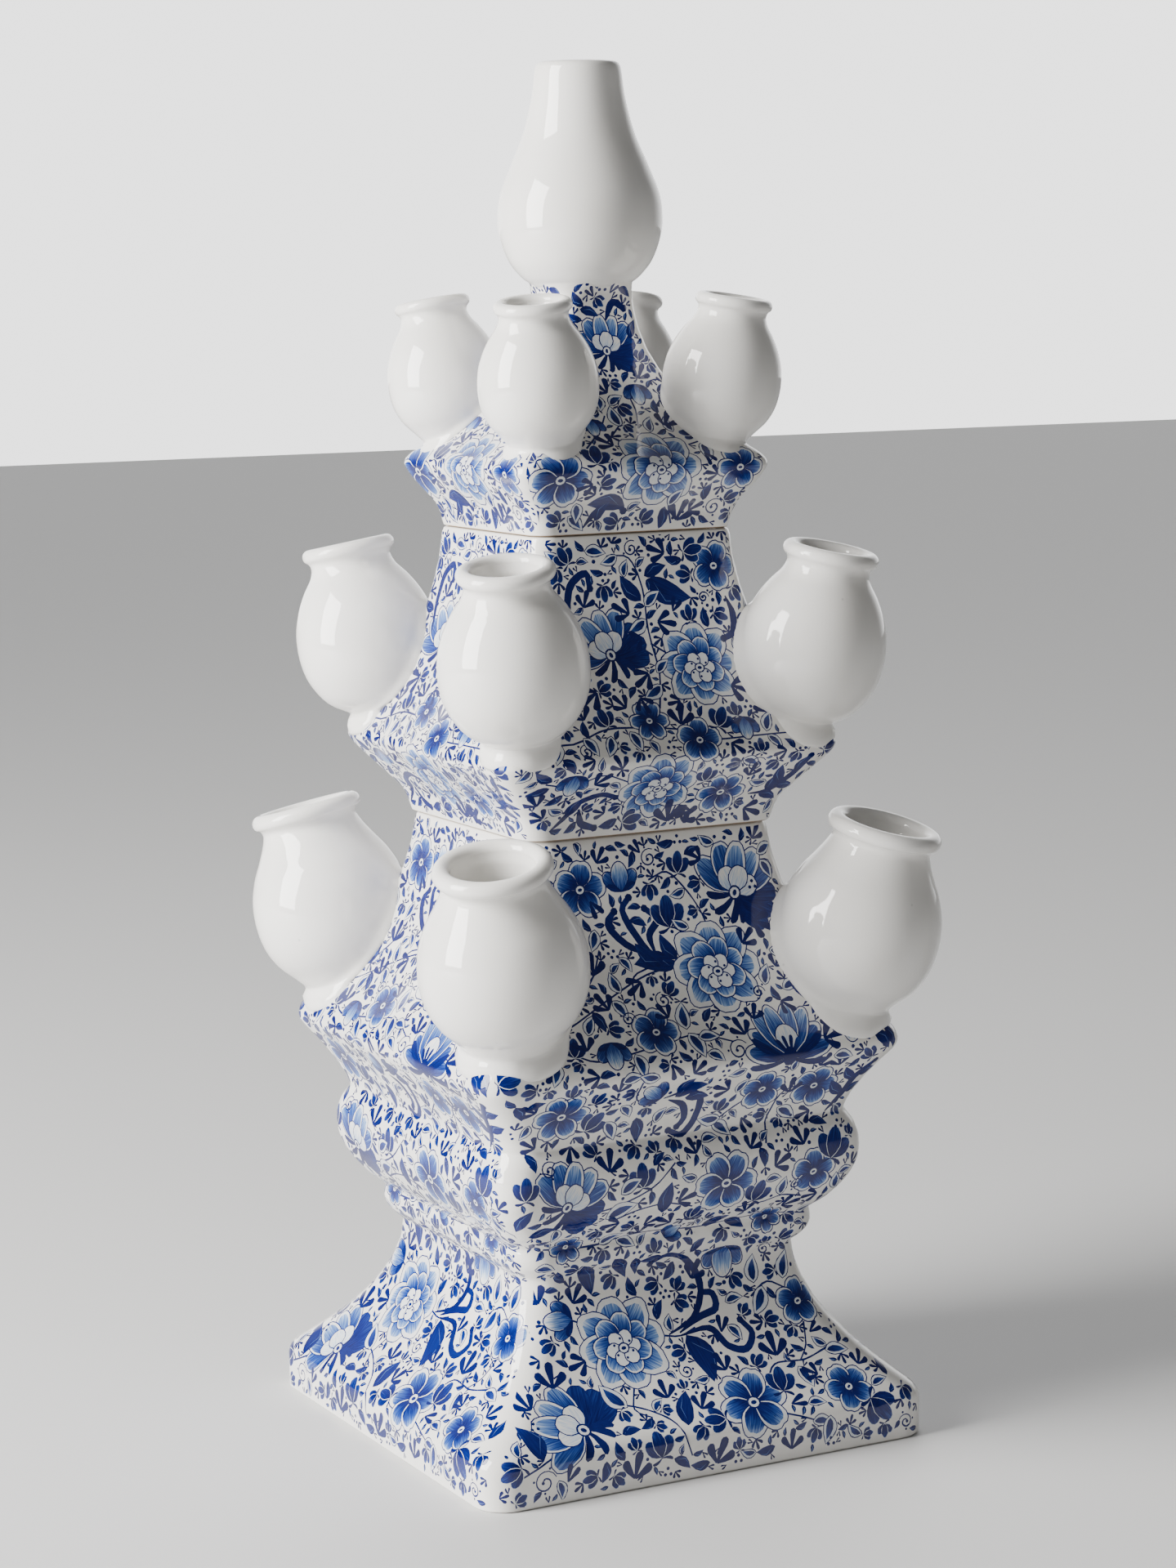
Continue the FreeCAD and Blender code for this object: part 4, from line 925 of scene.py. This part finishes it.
# ---- middle tier ---------------------------------------------------------------------------------
# A second slip-cast body with its own floor. Its stepped foot drops into the lower tier's mouth and
# the bare rim of its base shows as a thin brown line. Same print family, smaller repeat.
middle_profile = [(w, z, 8.0 if z < 240 else 8.0 - 1.0 * (z - 240) / 60) for w, z in [
    (46.1, 205.0), (46.4, 206.0), (47.3, 209.7), (48.6, 212.8), (51.6, 216.5), (55.8, 221.4), (59.4, 225.8),
    (61.2, 228.2), (62.1, 230.1), (61.8, 232.1), (60.3, 234.3), (54.6, 243.6), (49.6, 252.8), (45.5, 262.1),
    (42.1, 271.4), (39.6, 280.7), (37.8, 289.9), (36.9, 298.8), (36.4, 300.0)]]
middle_rows = smooth_profile(middle_profile, 2.6, 0.45)
middle_print = draw([
    # underside
    (stem, (-46, 24), (-36, 22), (-26, 26), (-16, 22)), (stem, (4, 3), (6, 10), (2, 16)),
    (stem, (10, 16), (18, 13), (30, 14)), (scroll, (-39, 3), (-34, 8), (-31, 14), (-24, 17), (-18, 15)),
    (scroll, (-30, 11), (-28, 5), (-23, 3)), (leaf, -34, 8, 60, 9, "dark"), (peony, -4, 18.5, 13.6, 10),
    (tulip, -36, 27, -92, 5.4), (leaf, -44, 25, 150, 8, "dark"), (leaf, -44, 22, 196, 8, "dark"),
    (bud, -13, 4, 14, 4.2), (rose, 21, 13, 8.2, 0, 6), (bud, 13, 19, 96, 4.0),
    (scroll, (32, 11), (39, 12), (45, 18), (50, 27)), (leaf, 38, 12, 60, 9, "dark"),
    (leaf, 42, 15, 100, 9, "dark"), (leaf, 46, 20, 60, 8, "dark"), (leaf, 36, 11, -24, 8, "dark"),
    (leaf, 41, 14, -10, 8, "dark"), (leaf, 24, 28, -24, 8), (sprig, -28, 22, 40, 7),
    (sprig, -46, 14, 130, 7), (sprig, -42, 8, 150, 6), (sprig, 4, 3, 96, 9), (sprig, 9, 3, 40, 7),
    (sprig, -20, 28, 120, 6), (sprig, 12, 6, 200, 6), (sprig, 32, 5, -20, 7), (sprig, 29, 20, 80, 6),
    (sprig, -20, 8, 160, 5), (spiral, 30, 25, 3.4, 30), (dots, -35, 8.5), (dots, 16, 27), (dots, 27, 4),
    (dots, -52, 20),
    # shoulder
    (stem, (-48, 39), (-36, 38), (-24, 42), (-12, 42), (4, 40), (14, 36), (30, 36), (44, 36), (54, 34)),
    (bud, -57, 35, 30, 4.2), (leaf, -42, 40, -100, 9), (leaf, -32, 40, -60, 8), (leaf, -22, 40, -110, 8),
    (leaf, -15, 41, -70, 8), (bud, -22, 43, 106, 4.0), (rose, -7, 44, 6.6, 0, 6), (rose, 9, 36, 7.4, 10),
    (bud, 17, 40, 60, 4.6), (tulip, 27, 43, -92, 4.8), (leaf, 34, 37, 66, 8), (leaf, 34, 36, -50, 7),
    (leaf, 43, 36, 100, 7), (leaf, 46, 36, -70, 7), (bud, 54, 29, 30, 4.2), (sprig, -30, 46, 110, 7),
    (sprig, -40, 44, 60, 7), (sprig, 4, 42, 76, 8), (sprig, 20, 34, -40, 6), (sprig, 50, 37, 40, 5),
    (sprig, -14, 49, 130, 6), (sprig, -52, 42, 100, 6), (sprig, -30, 32, 200, 5), (sprig, 40, 30, 200, 5),
    (sprig, 36, 44, 110, 6), (spiral, -32, 35, 2.6, 90), (spiral, 43, 43, 2.4, 0), (dots, 30, 47),
    (dots, -2, 35), (dots, -46, 32), (dots, 46, 31),
    # slope
    (stem, (-2, 48), (1, 60), (0, 74), (0, 88), (-4, 98), (-12, 99)), (stem, (0, 70), (6, 66), (12, 64)),
    (stem, (0, 66), (-6, 70), (-12, 69)), (bloom, -15, 67, 13, 112), (peony, 16, 62, 13.8, 0),
    (leaf, 2, 91, -24, 17, "dark", -0.1), (leaf, 1, 92, 20, 9, "dark"), (leaf, -1, 84, 128, 11, "dark"),
    (leaf, -8, 99, 200, 7), (rose, 27, 94, 7.6, 0), (bud, 16, 99, 10, 4.2), (bud, 33, 87, -60, 3.4),
    (scroll, (-26, 70), (-28, 80), (-26, 90), (-20, 94), (-19, 89)),
    (scroll, (30, 84), (32, 78), (31, 72), (27, 70)), (leaf, -29, 78, 160, 8, "dark"),
    (leaf, -28, 98, 150, 7), (leaf, -20, 101, -8, 8), (bud, -26, 97, 120, 3.8),
    (leaf, 22, 74, 96, 7, "dark"), (leaf, 1, 56, -150, 9), (leaf, 0, 78, -150, 9), (leaf, 0, 60, 40, 7),
    (leaf, 0, 82, 40, 8), (leaf, 38, 78, 60, 8), (leaf, -34, 60, 200, 8), (sprig, -6, 80, 150, 7),
    (sprig, -3, 72, 200, 6), (sprig, 4, 77, -10, 7), (sprig, -3, 60, 216, 7), (sprig, -10, 103, 60, 5),
    (sprig, 9, 99, 160, 7), (sprig, 26, 54, -20, 8), (sprig, 30, 62, 0, 6), (sprig, -23, 55, 210, 8),
    (sprig, -8, 52, -70, 6), (sprig, -32, 88, 190, 7), (sprig, -36, 70, 130, 7), (sprig, 36, 70, 20, 7),
    (sprig, 6, 50, 190, 5), (sprig, -22, 83, 70, 6), (sprig, 10, 80, 60, 5, 2), (sprig, -36, 52, 150, 7),
    (sprig, 40, 56, 40, 7), (spiral, -3, 101, 2.8, 60), (spiral, 22, 84, 2.0, 0), (dots, -13, 92),
    (dots, 23, 80), (dots, 34, 66), (dots, -30, 64), (dots, 8, 104), (dots, 37, 48), (dots, -29, 50),
], middle_rows, 23)
middle = tier_mesh(
    "middle_tier_look", middle_rows,
    [(45.4, 204.6, 7.4), (44.6, 204.5, 7.0), (39.6, 204.5, 7.0), (39.4, 203.5, 6.8), (39.4, 198.0, 6.8),
     (38.6, 196.6, 6.4), (36.0, 196.5, 6.0)],
    [(35.6, 300.4, 6.2), (33.2, 300.4, 6.0), (32.1, 299.6, 6.0), (31.9, 298.4, 6.0), (31.9, 288.5, 6.0),
     (33.0, 279.2, 6.0), (38.2, 260.6, 6.0), (47.2, 242.0, 6.0), (53.2, 232.7, 6.0), (55.0, 229.5, 6.0),
     (52.2, 224.8, 6.0), (43.4, 216.5, 6.0), (34.6, 209.5, 5.5), (34.4, 202.5, 5.5), (33.0, 201.5, 5.5)],
    middle_print, bare=(0, 1, 2, 3))
middle.data.materials.append(painted)
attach(middle, "middle")
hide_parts("middle_tier")
for side, turn in corners.items():
    spout("middle_spout_" + side, "middle", turn, foot_at=(71.7, 237.2), tilt=11.9, length=58.6,
          belly=24.0, waist=10.6, neck=13.6, rim=15.7, lip=2.5, feed=5.5,
          profile=[q for q in middle_profile if q[1] > 229], web=4.0)


# ---- upper tier ----------------------------------------------------------------------------------
# The third body, with a steep hollow neck that rounds off under the top vase. Its stepped foot sits
# in the middle tier's mouth.
upper_profile = [
    (36.3, 301.0, 6.5), (36.6, 302.0, 6.5), (37.1, 305.1, 6.5), (38.1, 308.1, 6.5), (40.0, 311.0, 6.5),
    (43.5, 316.0, 6.5), (45.1, 319.0, 6.5), (45.9, 321.0, 6.5), (45.6, 322.8, 6.5), (44.2, 324.7, 6.5),
    (36.3, 331.4, 6.5), (29.8, 338.2, 6.4), (24.4, 344.9, 6.3), (20.3, 351.6, 6.1), (17.2, 358.4, 5.8),
    (15.2, 365.1, 5.6), (14.1, 371.0, 5.6), (13.9, 374.5, 6.0), (14.3, 377.0, 8.0), (15.3, 379.0, 11.5),
    (16.6, 380.6, 15.5)]
upper_rows = smooth_profile(upper_profile, 2.4, 0.4)
upper_print = draw([
    (stem, (12, 2), (10, 9), (9, 15)), (stem, (17, 32), (25, 34), (31, 29)),
    (stem, (-12, 34), (-8, 38), (-4, 42)), (stem, (2, 40), (4, 48), (3, 56)),
    (stem, (-20, 32), (-12, 40), (-8, 46)), (scroll, (-20, 2), (-15, 8), (-9, 10), (-6, 7)),
    (leaf, -6, 9, 176, 14, "dark", -0.1), (leaf, -16, 4, 60, 8, "dark"), (rose, -32, 20, 10.2, 0, 6),
    (bud, -19, 25, 76, 5.0), (peony, 4, 23.5, 14.4, 0), (rose, 33, 22, 7.8, 0, 6),
    (leaf, 9, 8, -100, 8, "dark"), (leaf, 10, 8, 60, 8), (leaf, 22, 33, -92, 9), (leaf, -26, 6, -40, 8),
    (leaf, -24, 11, -80, 8), (leaf, 22, 37, 20, 7), (bud, -40, 27, 130, 3.8), (tulip, -14, 45, -92, 4.4),
    (tulip, 7, 58, -92, 4.8), (leaf, -4, 41, 96, 9), (leaf, 14, 38, 100, 7), (bloom, 0, 70, 10.5, 84),
    (leaf, 9, 74, 64, 7, "dark"), (leaf, -8, 84, -20, 7, "dark"), (scroll, (1, 80), (4, 86), (8, 84)),
    (bud, 11, 66, 60, 3.0), (leaf, -22, 44, 120, 7), (sprig, -20, 18, 200, 6), (sprig, -18, 14, 160, 5),
    (sprig, 14, 3, 70, 8), (sprig, 18, 6, 30, 6), (sprig, 25, 20, 170, 5), (sprig, 28, 36, 60, 7),
    (sprig, -43, 22, 160, 5), (sprig, -10, 33, 140, 7), (sprig, 12, 41, 60, 7), (sprig, -4, 55, 130, 7),
    (sprig, 9, 60, 60, 6), (sprig, -7, 60, 200, 5), (sprig, 3, 89, 60, 4, 2), (sprig, -3, 88, 130, 4, 2),
    (sprig, 41, 28, 60, 5), (sprig, -30, 34, 110, 6), (sprig, 21, 28, -60, 5, 2), (sprig, -36, 4, 150, 6),
    (spiral, 27, 7, 3.4, 30), (spiral, 17, 46, 2.0, 0), (dots, -1, 3), (dots, 20, 19), (dots, -27, 2),
    (dots, 37, 8), (dots, -18, 38), (dots, 0, 62), (dots, 0, 91),
], upper_rows, 37)
upper = tier_mesh(
    "upper_tier_look", upper_rows,
    [(35.6, 300.6, 5.9), (34.9, 300.5, 5.5), (30.9, 300.5, 5.5), (30.7, 299.6, 5.3), (30.7, 294.0, 5.3),
     (29.9, 292.6, 5.0), (28.0, 292.5, 5.0)],
    [(15.0, 381.0, 14.0), (10.5, 380.5, 9.0), (9.3, 379.0, 4.0), (9.3, 370.6, 4.0), (12.7, 354.7, 4.0),
     (22.1, 338.9, 4.0), (37.0, 323.0, 4.0), (39.2, 320.0, 4.0), (33.4, 311.0, 4.0), (25.7, 305.5, 4.0),
     (25.7, 298.5, 4.0), (24.5, 297.5, 4.0)],
    upper_print, bare=(0, 1, 2, 3))
upper.data.materials.append(painted)
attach(upper, "upper")
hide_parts("upper_tier")
for side, turn in corners.items():
    spout("upper_spout_" + side, "upper", turn, foot_at=(43.9, 328.8), tilt=9.8, length=47.2,
          belly=19.3, waist=10.8, neck=11.1, rim=12.6, lip=2.1, feed=4.5,
          profile=[q for q in upper_profile if q[1] > 320], web=3.2)


# ---- top vase ------------------------------------------------------------------------------------
# A gourd-shaped bulb with a plain softly rounded mouth, cast on its own and luted over the neck. Its
# hollow opens into the upper tier.
vase_out = smooth_line([
    (16.2, 379.6), (19.4, 382.0), (23.4, 387.0), (26.2, 394.2), (27.0, 400.5), (26.1, 408.4),
    (22.6, 417.6), (18.3, 427.8), (15.4, 438.9), (14.2, 447.6)], 0.8)
vase_lip = [(13.9, 449.2), (13.3, 450.4), (12.3, 450.95), (11.3, 450.6), (10.6, 449.6)]
vase_in = smooth_line([
    (10.3, 448.0), (10.3, 437.0), (15.2, 426.0), (19.6, 415.8), (23.4, 400.5), (19.6, 388.5),
    (10.4, 383.6), (9.4, 381.0)], 1.5)
vase_line = [(0, 378.7), (15.4, 378.7)] + vase_out + vase_lip + vase_in + [(0, 380.6)]
vase = turned("top_vase_look", vase_line, 128)
vase.data.materials.append(white)
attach(vase, "upper")
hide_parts("top_vase")


# ---- floor, light and camera ---------------------------------------------------------------------
# A pale floor, one large softbox on the left and a bright sweep behind. The camera stands to the left
# of one painted face and looks slightly down.
mesh = bpy.data.meshes.new("floor")
mesh.from_pydata([(-6, -6, 0), (6, -6, 0), (6, 6, 0), (-6, 6, 0)], [], [(0, 1, 2, 3)])
floor = bpy.data.objects.new("floor", mesh)
bpy.context.collection.objects.link(floor)
ground, shader, plug, add = nodes_for("floor")
plug(shader, {"Base Color": (0.66, 0.66, 0.66, 1), "Roughness": 0.6})
mesh.materials.append(ground)


def softbox(name, place, aim, wide, tall, power, tint=(1, 1, 1)):
    data = bpy.data.lights.new(name, "AREA")
    data.shape = "RECTANGLE"
    data.size, data.size_y = wide, tall
    data.energy = power
    data.color = tint
    obj = bpy.data.objects.new(name, data)
    obj.location = place
    obj.rotation_euler = (Vector(aim) - Vector(place)).to_track_quat("-Z", "Y").to_euler()
    bpy.context.collection.objects.link(obj)


softbox("key", (-1.5, 0.10, 0.75), (0, 0, 0.25), 0.75, 1.3, 100, (1.0, 0.985, 0.96))
# dim in front, with the bright sweep behind
world = bpy.data.worlds.new("studio")
bpy.context.scene.world = world
world.use_nodes = True
tree = world.node_tree
look = tree.nodes.new("ShaderNodeTexCoord")
toward = tree.nodes.new("ShaderNodeVectorMath")
toward.operation = "DOT_PRODUCT"
toward.inputs[1].default_value = (0.4677, 0.8839, 0.0)
tree.links.new(look.outputs["Generated"], toward.inputs[0])
glow = tree.nodes.new("ShaderNodeMapRange")
glow.interpolation_type = "SMOOTHSTEP"
glow.inputs["From Min"].default_value = 0.55
glow.inputs["From Max"].default_value = 0.93
glow.inputs["To Min"].default_value = 0.13
glow.inputs["To Max"].default_value = 2.6
tree.links.new(toward.outputs["Value"], glow.inputs["Value"])
tree.links.new(glow.outputs["Result"], tree.nodes["Background"].inputs["Strength"])
tree.nodes["Background"].inputs["Color"].default_value = (1, 1, 1, 1)

lens = bpy.data.cameras.new("camera")
lens.sensor_width = 36.0
lens.lens = 83.87
lens.dof.use_dof = False
camera = bpy.data.objects.new("camera", lens)
bpy.context.collection.objects.link(camera)
away, height = 1.204, 0.386
round_to, pitch, roll = math.radians(-27.88), math.radians(-8.10), math.radians(-0.82)
camera.location = (away * math.sin(round_to), -away * math.cos(round_to), height)
camera.rotation_euler = (Matrix.Rotation(round_to, 4, "Z") @ Matrix.Rotation(math.pi / 2 + pitch, 4, "X")
                         @ Matrix.Rotation(roll, 4, "Z")).to_euler()
bpy.context.scene.camera = camera
